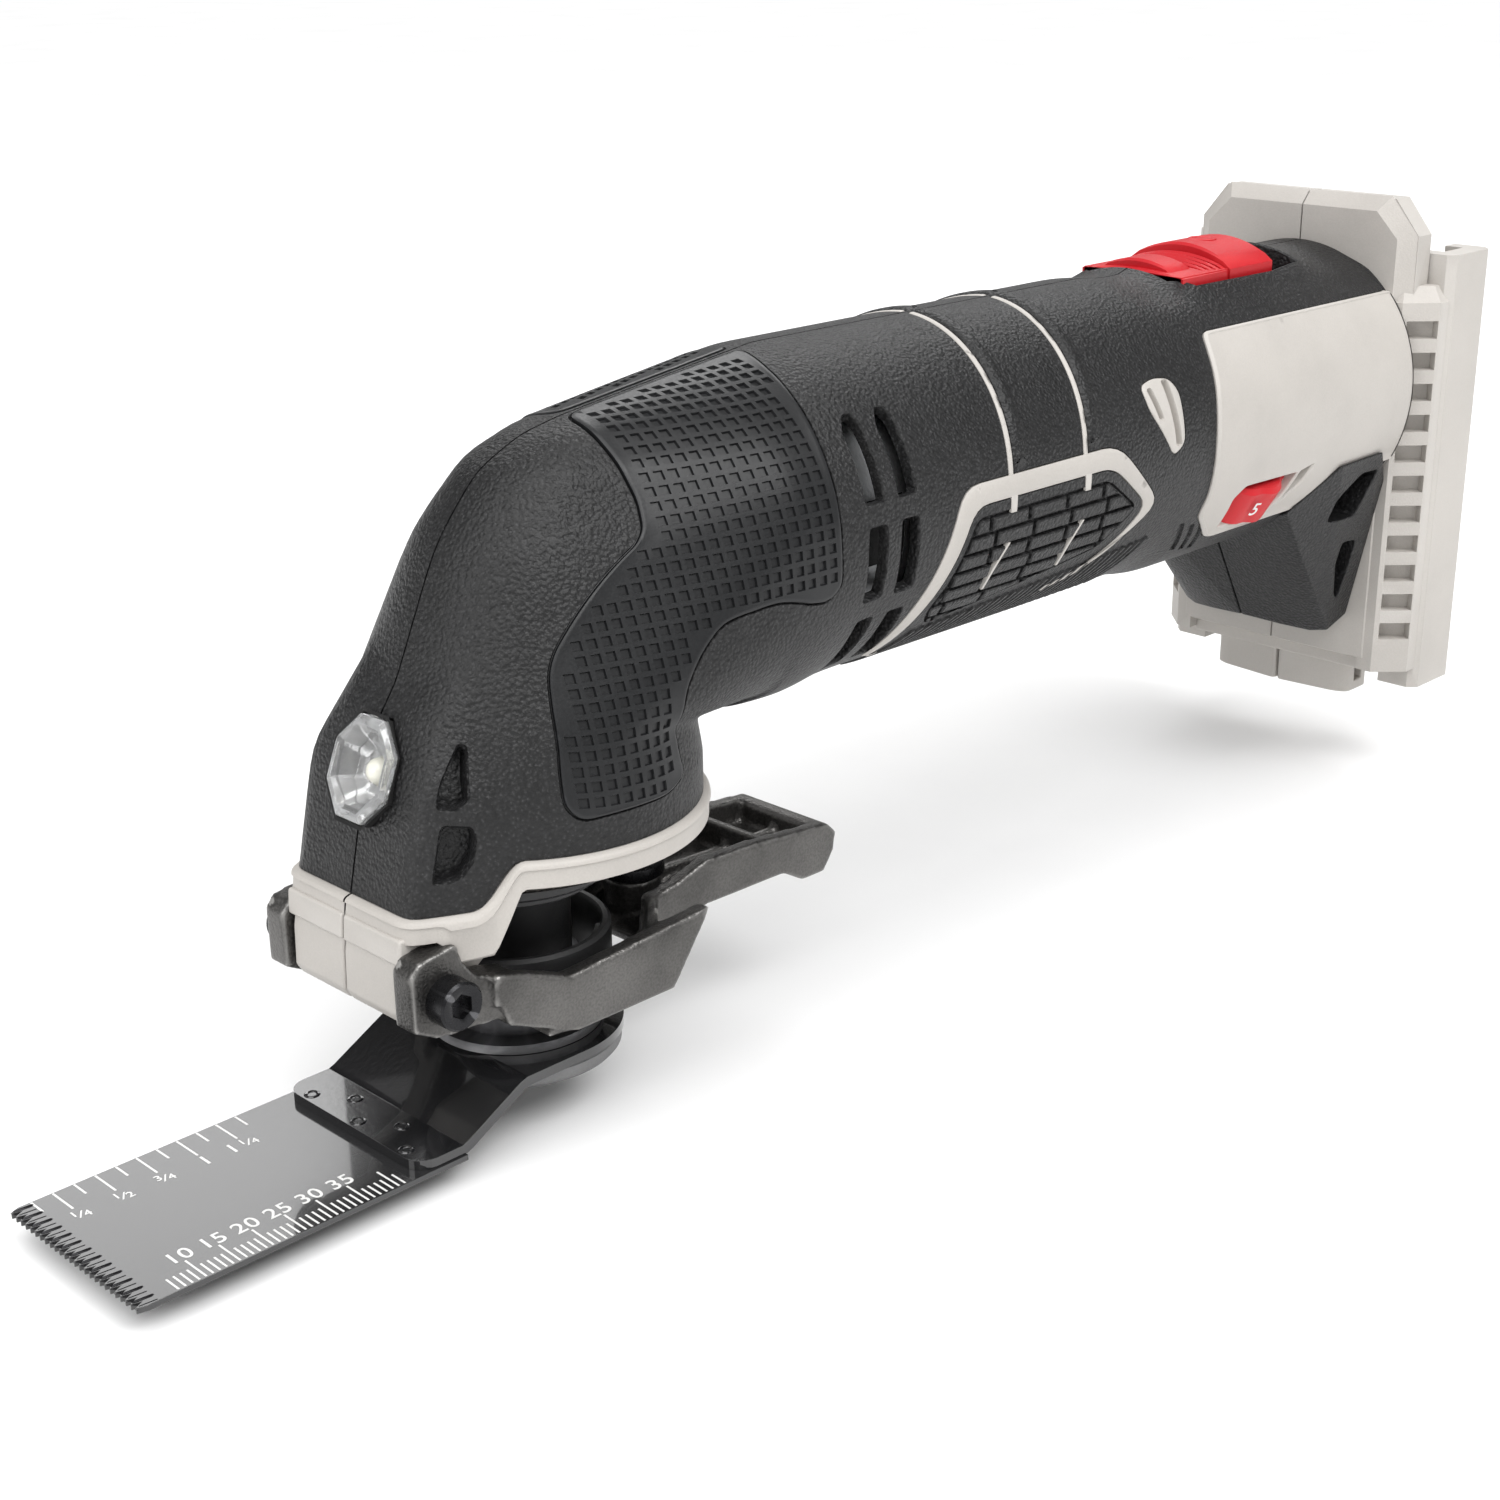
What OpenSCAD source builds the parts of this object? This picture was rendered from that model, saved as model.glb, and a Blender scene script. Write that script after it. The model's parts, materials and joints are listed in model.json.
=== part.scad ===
// Cordless oscillating multi-tool, bare tool, with a plunge-cut blade clamped on.
// The origin is on the spindle axis, on the seat that the blade arm is clamped against.
// +X points to the blade's teeth, +Y to the tool's left side, +Z up along the spindle.

/* [Handle] */
// Outer radius of the round handle
handle_r = 26; // [24:0.5:28]
// Height of the motor axis above the accessory seat
handle_z = 68; // [66:0.5:70]
// Place of the battery plate's front face behind the spindle axis
plate_back = 198; // [190:1:206]
// Thickness of the rubber overmould
rubber = 2; // [1.5:0.1:2.4]
// Wall thickness of the hard shells
wall = 2.2; // [1.8:0.1:2.4]

/* [Head] */
// Radius of the neck at the back of the head
neck_r = 26; // [25:0.5:27]
// Half width of the flat nose
nose_half = 12.4; // [11:0.1:13]
// Height at which the black nose meets the collar
collar_z = 30; // [29:0.5:31]

/* [Blade] */
// Width of the blade
blade_w = 32.3; // [28:0.1:36]
// Reach of the teeth in front of the spindle axis
blade_reach = 74; // [66:1:86]
// Thickness of the blade plate
blade_t = 0.9; // [0.6:0.1:1.2]
// Thickness of the blade's bent arm
arm_t = 1.5; // [1.2:0.1:2]

/* [Drive] */
// Radius of the spindle where its bearings run
spindle_r = 6; // [5.5:0.1:6.5]
// Offset of the eccentric that swings the fork
eccentric = 0.7; // [0.4:0.1:0.9]
// Radius of the motor can
motor_r = 18; // [16:0.5:18.5]
// Length of the motor can
motor_len = 54; // [48:1:56]

/* [Lever] */
// Height of the lever's pivot above the accessory seat
pivot_z = 19; // [18:0.5:20]
// Place of the lever's pivot in front of the spindle axis
pivot_x = 25; // [24:0.5:26]

/* [Hidden] */

$fn = 64;
hull_fn = 32;
eps = 0.01;
run = 0.05;
plate_x = -plate_back;
handle_front_x = -36;
shell_r = handle_r - rubber;
inner_r = shell_r - wall;
neck_x = -3;
rear_collar_z = 37;
step_x = 13;
collar_screw_pitch = 18.1;
screw_r = 1.4;
screw_head_r = 2.7;
screw_seat = 23.8;
vent_z = [17, 23.4, 29.8, 36.2, 42.6, 49, 55.4, 61.8, 68.2, 74.6, 81];
motor_x1 = -62;
motor_x0 = motor_x1 - motor_len;
far = 600;

grey = [0.80, 0.78, 0.76];
black = [0.13, 0.13, 0.135];
red = [0.86, 0.1, 0.12];
steel = [0.62, 0.63, 0.65];
dark_steel = [0.22, 0.22, 0.23];
gunmetal = [0.36, 0.355, 0.35];
copper = [0.72, 0.42, 0.25];
green = [0.07, 0.32, 0.18];

// ---------- shared shapes ----------

// A cylinder along X from x0 to x1 on the motor axis
module axial(x0, x1, r) {
    translate([x0, 0, handle_z])
        rotate([0, 90, 0])
            cylinder(r = r, h = x1 - x0);
}

// A ring along X on the motor axis
module axial_ring(x0, x1, r_out, r_in) {
    difference() {
        axial(x0, x1, r_out);
        axial(x0 - 1, x1 + 1, r_in);
    }
}

// A vertical ring on the spindle axis
module ring(z0, z1, r_out, r_in) {
    difference() {
        translate([0, 0, z0]) cylinder(r = r_out, h = z1 - z0);
        translate([0, 0, z0 - 1]) cylinder(r = r_in, h = z1 - z0 + 2);
    }
}

// A side profile, given as [x, z] points, extruded from y0 to y1
module side_plate(points, y0, y1) {
    translate([0, y1, 0])
        rotate([90, 0, 0])
            linear_extrude(height = y1 - y0)
                polygon(points);
}

// A profile given as [y, z] points, extruded along X from x0 to x1
module cross_plate(points, x0, x1) {
    translate([x0, 0, 0])
        rotate([90, 0, 90])
            linear_extrude(height = x1 - x0)
                polygon(points);
}

// Keeps the half of its children on one side of the middle plane: 1 left, -1 right
module half(side) {
    intersection() {
        children();
        translate([-far / 2, side > 0 ? 0 : -far, -far / 2])
            cube([far, far, far]);
    }
}

// Mirrors the left-hand child for the right side
module on_side(side) {
    if (side > 0) children();
    else mirror([0, 1, 0]) children();
}

// The elbow head as one smooth form, grown by g
module head_form(g) {
    hull() {
        translate([handle_front_x, 0, handle_z])
            rotate([0, 90, 0])
                cylinder(r = handle_r + g, h = 0.5, $fn = hull_fn);
        translate([neck_x, 0, collar_z - 2])
            cylinder(r = neck_r + g, h = 1, $fn = hull_fn);
        translate([-7, 0, 70.5])
            sphere(r = 18.8 + g, $fn = hull_fn);
        side_plate([[27.6 + g, collar_z - 2], [23.2 + g, 47], [0, 47], [0, collar_z - 2]],
            -nose_half - g, nose_half + g);
        side_plate([[20.4 + g, 54], [19.6 + g, 56], [0, 56], [0, 54]], -8 - g, 8 + g);
    }
}

// The whole tool body as a solid, grown by g
module body_form(g) {
    head_form(g);
    axial(plate_x, handle_front_x + 0.3, handle_r + g);
}

// Everything below the black skin's lower edge, which steps up behind the nose
module below_skin() {
    translate([-60, -40, 0]) cube([100, 80, collar_z]);
    translate([-60, -40, 0]) cube([60 + step_x, 80, 36]);
}

// ---------- openings in the skin ----------

// Outline of the checkered pad, seen from the side
pad_outline = [[-1, 100], [4, 82], [-5, 77], [12, 60], [2, 40], [-13, 36], [-19, 40],
    [-19, 52], [-22, 60], [-37, 62], [-43, 66], [-44, 82], [-44, 100]];
// Outline of the side tread pad
tread_outline = [[-62, 50], [-66, 60], [-71, 70], [-104, 70], [-113, 68], [-119, 61],
    [-112, 53], [-100, 48], [-66, 44]];
// Outline of the light panel on the rear side
panel_outline = [[plate_x - 1, 86], [-138, 86], [-135, 76], [-133.5, 66], [-136, 56],
    [-148, 50], [-166, 49], [-178, 54], [plate_x - 1, 58]];

module pad_region() {
    side_plate(pad_outline, 0, 40);
}

module tread_region() {
    side_plate(tread_outline, 0, 40);
}

module panel_region() {
    side_plate(panel_outline, 8, 40);
}

// Two rows of arc-shaped air slots behind the head, cut through skin and shell
module air_slots() {
    for (x = [-50.2, -57], a = [29, -5, -38])
        rotate_about_axis(a)
            translate([x - 2.1, inner_r - 3, handle_z - 5.6])
                cube([4.2, 9, 11.2]);
}

// Turns children about the motor axis
module rotate_about_axis(a) {
    translate([0, 0, handle_z])
        rotate([a, 0, 0])
            translate([0, 0, -handle_z])
                children();
}

// The recess on top that the switch slides in
module switch_pocket() {
    translate([-180, -11.6, 89]) cube([38, 23.2, 12]);
}

// The slot in the switch pocket's floor for the slider's stem
module switch_slot() {
    translate([-176, -4, 84]) cube([26, 8, 8]);
}

// Place and tilt of the speed dial
module at_dial() {
    translate([-154, 13.6, 59.5])
        rotate([-32, 0, 0])
            children();
}

// The clearance that the speed dial turns in
module dial_slot() {
    at_dial()
        translate([0, 0, -4.4])
            cylinder(r = 12, h = 8.8);
}

// ---------- shells ----------

// The plate behind the handle that takes the battery
plate_front = [[-20.6, 11], [20.6, 11], [20.6, 95], [15.9, 99.8], [-15.9, 99.8],
    [-20.6, 95]];
plate_rear = [[-25, 13], [25, 13], [25, 96.5], [18.5, 102.4], [-18.5, 102.4], [-25, 96.5]];

module battery_plate() {
    cross_plate(plate_front, plate_x - 2.6, plate_x);
    cross_plate(plate_rear, plate_x - 7, plate_x - 2.5);
    for (s = [-1, 1])
        on_side(s) battery_rail();
    cross_plate([[-15.5, 4.2], [15.5, 4.2], [15.5, 16], [-15.5, 16]], plate_x - 14,
        plate_x - 3);
}

// One side wall of the battery mount with its inward rail
module battery_rail() {
    translate([plate_x - 21.5, 24.5, 13]) cube([14.6, 4, 80.5]);
    translate([plate_x - 21.5, 20.5, 13]) cube([4, 4.5, 80.5]);
    translate([plate_x - 9, 21, 13]) cube([2.5, 6, 80.5]);
}

// Air windows in the plate's side
module vent_windows() {
    for (z = vent_z)
        translate([plate_x - 5.8, 18, z]) cube([4.6, 12, 3.2]);
}

module housing_solid() {
    difference() {
        union() {
            body_form(-rubber);
            intersection() {
                body_form(0);
                union() {
                    panel_region();
                    mirror([0, 1, 0]) panel_region();
                }
            }
        }
        below_skin();
        difference() {
            intersection() {
                body_form(-rubber - wall);
                translate([plate_x + 2, -50, 0]) cube([far, 100, far]);
            }
            for (x = [motor_x0 + 4, motor_x1 - 8])
                axial_ring(x, x + 2.4, inner_r + 1, motor_r + run);
        }
        switch_slot();
        switch_pocket();
    }
}

module housing_half(side) {
    color(grey)
        half(side) {
            difference() {
                union() {
                    housing_solid();
                    battery_plate();
                }
                air_slots();
                mirror([0, 1, 0]) air_slots();
                vent_windows();
                mirror([0, 1, 0]) vent_windows();
                dial_slot();
                lens_pocket();
                screw_bores();
                at_collar_screws() cylinder(r = 1.4 + run, h = 20);
                at_collar_screws() cylinder(r = 2.4, h = 2.2);
                translate([plate_x - 8, -14, 19]) cube([11, 28, 22]);
                translate([plate_x - 9, -30, 7]) cube([4, 60, 5]);
            }
        }
}

module housing_left() {
    housing_half(1);
}

module housing_right() {
    housing_half(-1);
}

// Where the housing screws stand, driven from the right side along +Y
module screw_spots() {
    for (p = [[-126, 90], [-60, 44.6], [-128, 46]])
        translate([p[0], -30, p[1]])
            rotate([-90, 0, 0])
                children();
}

// Shank holes through both halves, with a counterbore from the right side
module screw_bores() {
    screw_spots() {
        cylinder(r = screw_r + run, h = 36);
        cylinder(r = screw_head_r + 0.2, h = screw_seat);
    }
}

module overmould_half(side) {
    color(black)
        half(side)
            difference() {
                body_form(0);
                body_form(-rubber);
                axial(plate_x - 2, plate_x, 60);
                below_skin();
                for (s = [-1, 1])
                    on_side(s) {
                        pad_pocket();
                        tread_pocket();
                        panel_region();
                        air_slots();
                    }
                switch_pocket();
                lens_pocket();
                boot_space();
                dial_slot();
                screw_bores();
            }
}

module overmould_left() {
    overmould_half(1);
}

module overmould_right() {
    overmould_half(-1);
}

// The pads sit in pockets that reach half way through the skin
module pad_pocket() {
    intersection() {
        pad_region();
        difference() {
            head_form(2);
            head_form(-1);
        }
    }
}

module tread_pocket() {
    intersection() {
        tread_region();
        axial_ring(-122, -58, handle_r + 2, handle_r - 1);
    }
}

module grip_pad(side) {
    color([0.17, 0.17, 0.175])
        on_side(side)
            intersection() {
                pad_region();
                translate([-60, 0, 34]) cube([90, 60, 70]);
                difference() {
                    head_form(0.3);
                    head_form(-1);
                }
            }
}

module grip_pad_left() {
    grip_pad(1);
}

module grip_pad_right() {
    grip_pad(-1);
}

module tread_pad(side) {
    color([0.15, 0.15, 0.155])
        on_side(side)
            intersection() {
                tread_region();
                axial_ring(-122, -58, handle_r + 0.4, handle_r - 1);
            }
}

module tread_pad_left() {
    tread_pad(1);
}

module tread_pad_right() {
    tread_pad(-1);
}

// The boot under the rear of the handle, shrunk by g
module boot_form(g) {
    hull() {
        translate([plate_x, -20 + g, 54])
            cube([12, 40 - 2 * g, 1]);
        translate([plate_x, -15 + g, 46])
            cube([23 - g, 30 - 2 * g, 1]);
        translate([plate_x, -16 + g, 20 + g])
            cube([6, 32 - 2 * g, 1]);
        translate([plate_x, -11.5 + g, 20 + g])
            cube([11.3 - g, 23 - 2 * g, 1]);
    }
}

module boot_space() {
    intersection() {
        boot_form(0);
        translate([plate_x - 1, -40, 0]) cube([40, 80, 47]);
    }
}

module boot_half(side) {
    color(black)
        half(side)
            difference() {
                boot_form(0);
                boot_form(2.2);
                axial(plate_x - 2, plate_x + 30, handle_r);
            }
}

module boot_left() {
    boot_half(1);
}

module boot_right() {
    boot_half(-1);
}

// ---------- nose ----------

// Where the lamp lens sits: Z runs out of the sloped nose face
module at_lens() {
    translate([23.6, 0, 47.2])
        rotate([0, 70, 0])
            rotate([0, 0, 22.5])
                children();
}

module lens_pocket() {
    at_lens()
        translate([0, 0, -6])
            cylinder(r = 8.75, h = 14, $fn = 8);
}

module led_lens() {
    color([0.85, 0.87, 0.88])
        at_lens()
            difference() {
                translate([0, 0, -3]) cylinder(r = 8.6, h = 3.4, $fn = 8);
                translate([0, 0, -4]) cylinder(r = 3.2, h = 2.6);
            }
}

module led() {
    color([0.95, 0.95, 0.85])
        at_lens() {
            translate([0, 0, -4.4]) cylinder(r = 1.5, h = 1.5);
            translate([0, 0, -2.9]) sphere(r = 1.5);
        }
}

module led_board() {
    color(green)
        at_lens()
            translate([0, 0, -5.6])
                cylinder(r = 5.4, h = 1.2);
}

// Outline of the collar seen from above
module collar_plan() {
    translate([-1.2, 0]) circle(r = 27.4);
    polygon([[-1.2, 27.4], [8, 25.2], [27.8, 12.8], [27.8, -12.8], [8, -25.2],
        [-1.2, -27.4]]);
}

// Outline of the collar seen from the side, with its step behind the nose
collar_side = [[-30, 32.3], [6, 32.3], [9, 28], [step_x, 26.7], [27.8, 26.7],
    [27.8, collar_z], [step_x, collar_z], [step_x, 36], [-30, 36]];
// Outline of the lug between the lever's ears
lug_side = [[27.8, 27], [29.6, 15.4], [28.6, 14.4], [21, 14.6], [14, 20], [12, 27]];
// Outline of the small web beside each ear
web_side = [[21, 27], [20.6, 22.5], [12.5, 21], [8, 32.3], [10, 33]];

module nose_collar() {
    color(grey)
        difference() {
            union() {
                intersection() {
                    linear_extrude(height = 40) collar_plan();
                    side_plate(collar_side, -40, 40);
                }
                side_plate(lug_side, -12.2, 12.2);
                for (s = [-1, 1])
                    on_side(s) side_plate(web_side, 9, 12.2);
            }
            translate([0, 0, 10]) cylinder(r = 15.7, h = 40);
            at_collar_screws() cylinder(r = 1.5, h = 20);
            at_collar_screws() translate([0, 0, -3]) cylinder(r = 2.4, h = 5.1);
            for (s = [-1, 1])
                on_side(s)
                    translate([pivot_x, 8, pivot_z])
                        rotate([-90, 0, 0])
                            cylinder(r = 1.6, h = 6);
        }
}

module at_collar_screws() {
    for (a = [50, 130, 230, 310])
        rotate([0, 0, a])
            translate([collar_screw_pitch, 0, 31.5])
                children();
}

module collar_screws() {
    color(dark_steel)
        at_collar_screws()
            difference() {
                union() {
                    translate([0, 0, 0.4]) cylinder(r = 2.3, h = 1.7);
                    translate([0, 0, 2]) cylinder(r = 1.4, h = 6);
                }
                cylinder(r = 1.1, h = 1.4, $fn = 6);
            }
}

module housing_screws() {
    color(dark_steel)
        screw_spots()
            difference() {
                union() {
                    translate([0, 0, screw_seat - 2.2]) cylinder(r = screw_head_r, h = 2.2);
                    translate([0, 0, screw_seat - 0.1]) cylinder(r = screw_r, h = 12);
                }
                translate([0, 0, screw_seat - 2.8]) cylinder(r = 1.2, h = 1.8, $fn = 6);
            }
}

// ---------- gear case and spindle ----------

lower_bearing_z = 28;
upper_bearing_z = 50;

module gear_case() {
    color([0.66, 0.67, 0.68])
        difference() {
            union() {
                translate([0, 0, 26.5]) cylinder(r = 15.5, h = 10);
                intersection() {
                    translate([0, 0, 36.4]) cylinder(r = 20.4, h = 3.2);
                    translate([neck_x - 0.5, 0, 30]) cylinder(r1 = 21.2, r2 = 17.6, h = 20);
                }
                translate([0, 0, 36.4]) cylinder(r = 11.4, h = 22.1);
                translate([-24, -7, 39]) cube([18, 14, 18]);
                axial(-50, -14, 15.5);
                axial(-62, -49, inner_r - run);
            }
            translate([0, 0, 26]) cylinder(r = 14, h = 10);
            translate([0, 0, 30]) cylinder(r = 8.5, h = 40);
            translate([0, 0, upper_bearing_z]) cylinder(r = 9.5, h = 10);
            axial(-36.5, 0, 14);
            axial(-44, 0, 8);
            axial(-52, 0, 4);
            axial(-63, -50.5, 19.6);
            for (a = [0, 60, 120])
                rotate_about_axis(a)
                    translate([-60.5, -30, handle_z - 5])
                        cube([8, 60, 10]);
            at_collar_screws() cylinder(r = 1.4 + run, h = 20);
        }
}

module ball_bearing(z0, h, r_out, r_in) {
    mid = (r_out + r_in) / 2;
    ring(z0, z0 + h, r_out, mid + 1.2);
    ring(z0, z0 + h, mid - 1.2, r_in);
    for (i = [0:9])
        rotate([0, 0, i * 36])
            translate([mid, 0, z0 + h / 2])
                sphere(r = min(h * 0.36, (r_out - r_in) / 2 - 0.25));
    ring(z0 + h / 2 - 0.6, z0 + h / 2 + 0.6, mid + 1.3, mid - 1.3);
}

module spindle_lower_bearing() {
    color(steel)
        ball_bearing(lower_bearing_z, 8, 14 - eps, spindle_r + run);
}

module spindle_upper_bearing() {
    color(steel)
        ball_bearing(upper_bearing_z, 7, 9.5 - eps, spindle_r + run);
}

module retaining_ring() {
    color(dark_steel)
        difference() {
            ring(26.6, 27.8, 14 - eps, 11.4);
            translate([-20, -1.5, 26]) cube([12, 3, 3]);
        }
}

module dust_seal() {
    color(black)
        ring(24.4, 26.4, 13, 8.3);
}

module spindle() {
    color(dark_steel)
        difference() {
            union() {
                translate([0, 0, 1.6]) cylinder(r = 12.8, h = 1.4);
                translate([0, 0, 2.9]) cylinder(r = 9.6, h = 9);
                translate([0, 0, 11.8]) cylinder(r = 8, h = 15.7);
                translate([0, 0, 27]) cylinder(r = spindle_r, h = 43);
            }
            translate([0, 0, 0]) cylinder(r = 3.55, h = 80);
            translate([0, 0, 41]) cylinder(r = 4.6, h = 40);
        }
}

module drive_fork() {
    color(steel)
        difference() {
            union() {
                translate([0, 0, 60]) cylinder(r = 7.2, h = 9);
                translate([-14, -11, 63]) cube([9, 22, 6]);
                for (s = [-1, 1])
                    on_side(s)
                        translate([-31, 8.3, 63])
                            cube([18, 2.9, 10]);
            }
            translate([0, 0, 50]) cylinder(r = spindle_r, h = 30);
        }
}

// ---------- clamp ----------

// A helix as one closed tube: mean radius, wire radius, height, turns
module coil(radius, wire, height, turns) {
    steps = 14;
    sides = 6;
    rings = steps * turns;
    points = [for (i = [0:rings], k = [0:sides - 1])
        let (a = 360 * i / steps, b = 360 * k / sides, r = radius + wire * cos(b))
        [r * cos(a), r * sin(a), wire + (height - 2 * wire) * i / rings + wire * sin(b)]];
    walls = [for (i = [0:rings - 1], k = [0:sides - 1])
        let (n = (k + 1) % sides, p = i * sides, q = p + sides)
        each [[p + k, p + n, q + n], [p + k, q + n, q + k]]];
    first = [for (k = [sides - 1:-1:0]) k];
    last = [for (k = [0:sides - 1]) rings * sides + k];
    polyhedron(points = points, faces = concat(walls, [first, last]));
}

module clamp_spring() {
    color(steel)
        translate([0, 0, 41.1])
            coil(3.75, 0.42, 24.5, 7);
}

module clamp_rod() {
    color(steel) {
        cylinder(r = 3.5, h = 40.5);
        translate([0, 0, 40]) cylinder(r = 2.9, h = 27);
        translate([0, 0, 65.8]) cylinder(r = 4.4, h = 3);
    }
}

module at_pins() {
    for (i = [0:7])
        rotate([0, 0, 22.5 + i * 45])
            translate([10.6, 0, 0])
                children();
}

// Room for the arm's bend over the holder's front edge
bend_room = [[10.6, 0.1], [10.9, 0], [20, -4.95], [20, 0.1]];

module accessory_holder() {
    color([0.5, 0.5, 0.5]) {
        difference() {
            union() {
                translate([0, 0, -2.4]) cylinder(r = 15.4, h = 2.4);
                translate([0, 0, -4.6]) cylinder(r1 = 11, r2 = 14.6, h = 2.3);
            }
            side_plate(bend_room, -20, 20);
        }
        at_pins() translate([0, 0, -1]) cylinder(r = 1.5, h = 2.3);
    }
}

arm_side = [[9, arm_t], [11.5, arm_t], [22.6, -4.5], [30.6, -4.5], [30.6, -6],
    [22.1, -6], [11, 0], [9, 0]];
rivet_r = 0.9;
// Rivet places along the arm's front, as [x, y]
rivets = [[29.1, -11.1], [25.6, -5.5], [29.1, 0], [25.6, 5.5], [29.1, 11.1]];

module blade_arm() {
    color(black)
        difference() {
            union() {
                cylinder(r = 15.8, h = arm_t);
                translate([0, -15.8, 0]) cube([9.1, 31.6, arm_t]);
                side_plate(arm_side, -15.8, 15.8);
            }
            translate([0, 0, -1]) cylinder(r = 3.7, h = 5);
            at_pins() translate([0, 0, -1]) cylinder(r = 1.6, h = 5);
            at_rivets() cylinder(r = rivet_r, h = 5);
        }
}

module at_rivets() {
    for (p = rivets)
        translate([p[0], p[1], -7.2])
            children();
}

// Points of the toothed front edge, from one side to the other
function tooth_edge(n) = [for (i = [0:2 * n])
    [blade_reach - (i % 2 == 0 ? 1.5 : 0), blade_w / 2 - i * blade_w / (2 * n)]];

module blade_plate() {
    color([0.6, 0.61, 0.62])
        difference() {
            translate([0, 0, -6 - blade_t])
                linear_extrude(height = blade_t)
                    polygon(concat([[22.4, -blade_w / 2], [22.4, blade_w / 2]],
                        tooth_edge(24)));
            at_rivets() cylinder(r = rivet_r, h = 5);
        }
}

module blade_rivets() {
    color([0.3, 0.3, 0.3])
        at_rivets() {
            translate([0, 0, 0.1]) cylinder(r = rivet_r, h = 2.8);
            translate([0, 0, 2.7]) cylinder(r = rivet_r + 0.3, h = 0.3);
        }
}

// ---------- lever ----------

ear_side = [[30.3, 16.4], [30.3, 23.6], [29, 24.6], [22.6, 26], [22, 22.9], [20.1, 20.5],
    [16.6, 19.7], [14, 18.7], [14, 12.2], [19.5, 13.5], [26.6, 14.7]];
flank_side = [[18, 13.2], [18, 20], [16.6, 19.7], [4.8, 15.3], [-22.4, 17], [-14.8, 6.7],
    [3.7, 6.8], [15.2, 12.4]];
back_side = [[-19.4, 16.4], [-22.4, 17], [-14.8, 6.7], [-12, 6.7]];
tail_side = [[-19, 16.6], [-28.8, 18.8], [-30.5, 19.6], [-40.3, 19.2], [-56.7, 17.4],
    [-58.6, 15.7], [-58, 13.4], [-55.8, 9.9], [-50.7, 9.9], [-46.7, 12.4], [-37.6, 12.9],
    [-30, 12.9], [-17, 9.6]];
tail_floor = [[-17, 11], [-18, 9.4], [-30, 12.8], [-47, 12.4], [-51, 9.9], [-55.8, 9.9],
    [-58, 13.4], [-57.8, 15], [-54, 14.2], [-30, 14.4]];

module clamp_lever() {
    color(gunmetal)
        difference() {
            union() {
                for (s = [-1, 1])
                    on_side(s) {
                        side_plate(ear_side, 12.6, 16.4);
                        side_plate(flank_side, 15, 18);
                        side_plate(tail_side, 8.2, 9.8);
                    }
                side_plate(back_side, -18, 18);
                side_plate(tail_floor, -9.8, 9.8);
                side_plate([[-58.6, 15.7], [-56.7, 17.4], [-55, 17], [-56, 13]], -9.8, 9.8);
                side_plate([[-45, 13.6], [-45, 17.8], [-43.6, 17.8], [-43.6, 13.6]], -9.8, 9.8);
                side_plate([[-56, 13.6], [-56, 16.4], [-20, 16.4], [-20, 11]], -0.8, 0.8);
                translate([-15, -18, 6.8]) cube([19, 36, 1.8]);
                translate([3.9, -16.4, 6.8]) cube([4, 32.8, 1.8]);
                translate([-23.5, 0, 11]) cylinder(r = 4, h = 6.6);
            }
            translate([0, 0, 5]) cylinder(r = 13.4, h = 8);
            translate([0, 0, 8.65]) cylinder(r = 14.45, h = 12);
            pivot_bores();
        }
}

module pivot_bores() {
    translate([pivot_x, -30, pivot_z])
        rotate([-90, 0, 0])
            cylinder(r = 2.5, h = 60);
}

module pivot_screws() {
    color(dark_steel)
        for (s = [-1, 1])
            on_side(s)
                translate([pivot_x, 0, pivot_z])
                    rotate([-90, 0, 0])
                        difference() {
                            union() {
                                translate([0, 0, 8.2]) cylinder(r = 1.55, h = 5);
                                translate([0, 0, 12.3]) cylinder(r = 2.45, h = 4.4);
                                translate([0, 0, 16.6]) cylinder(r = 3.4, h = 3.8);
                            }
                            translate([0, 0, 18.2]) cylinder(r = 1.9, h = 4, $fn = 6);
                        }
}

module lever_spring() {
    color(steel)
        translate([-23.5, 0, 17.7])
            coil(2.6, 0.4, 14.5, 6);
}

module release_ring() {
    color(black)
        ring(8.7, 17, 14.4, 12.6);
}

// ---------- motor ----------

module motor_can() {
    color(steel)
        difference() {
            axial(motor_x0, motor_x1, motor_r);
            axial(motor_x0 - 1, motor_x1 - 1.4, motor_r - 1);
            axial(motor_x0, motor_x1 + 1, 4);
        }
}

module magnets() {
    color([0.2, 0.2, 0.21])
        for (a = [0, 180])
            rotate_about_axis(a)
                difference() {
                    axial_ring(motor_x0 + 9, motor_x1 - 5, motor_r - 1 - eps, motor_r - 3.4);
                    translate([motor_x0, -30, handle_z - 30]) cube([60, 60, 33]);
                }
}

module armature() {
    color([0.45, 0.42, 0.4])
        difference() {
            union() {
                axial(motor_x0 + 11, motor_x1 - 8, motor_r - 3.9);
                axial(motor_x0 + 9, motor_x0 + 11.2, 11);
                axial(motor_x1 - 8.2, motor_x1 - 4.6, 11);
            }
            axial(motor_x0, motor_x1, 2.5);
            for (i = [0:9])
                rotate_about_axis(i * 36)
                    translate([motor_x0 + 8, -0.8, handle_z + 10])
                        cube([motor_len, 1.6, 8]);
        }
}

module commutator() {
    color(copper)
        difference() {
            axial(motor_x0 + 1.5, motor_x0 + 8.6, 5.6);
            axial(motor_x0, motor_x0 + 10, 2.5);
            for (i = [0:9])
                rotate_about_axis(i * 36)
                    translate([motor_x0, -0.25, handle_z + 5])
                        cube([8, 0.5, 2]);
        }
}

module motor_shaft() {
    color(steel)
        axial(motor_x0 - 5.6, -33, 2.5);
}

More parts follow.
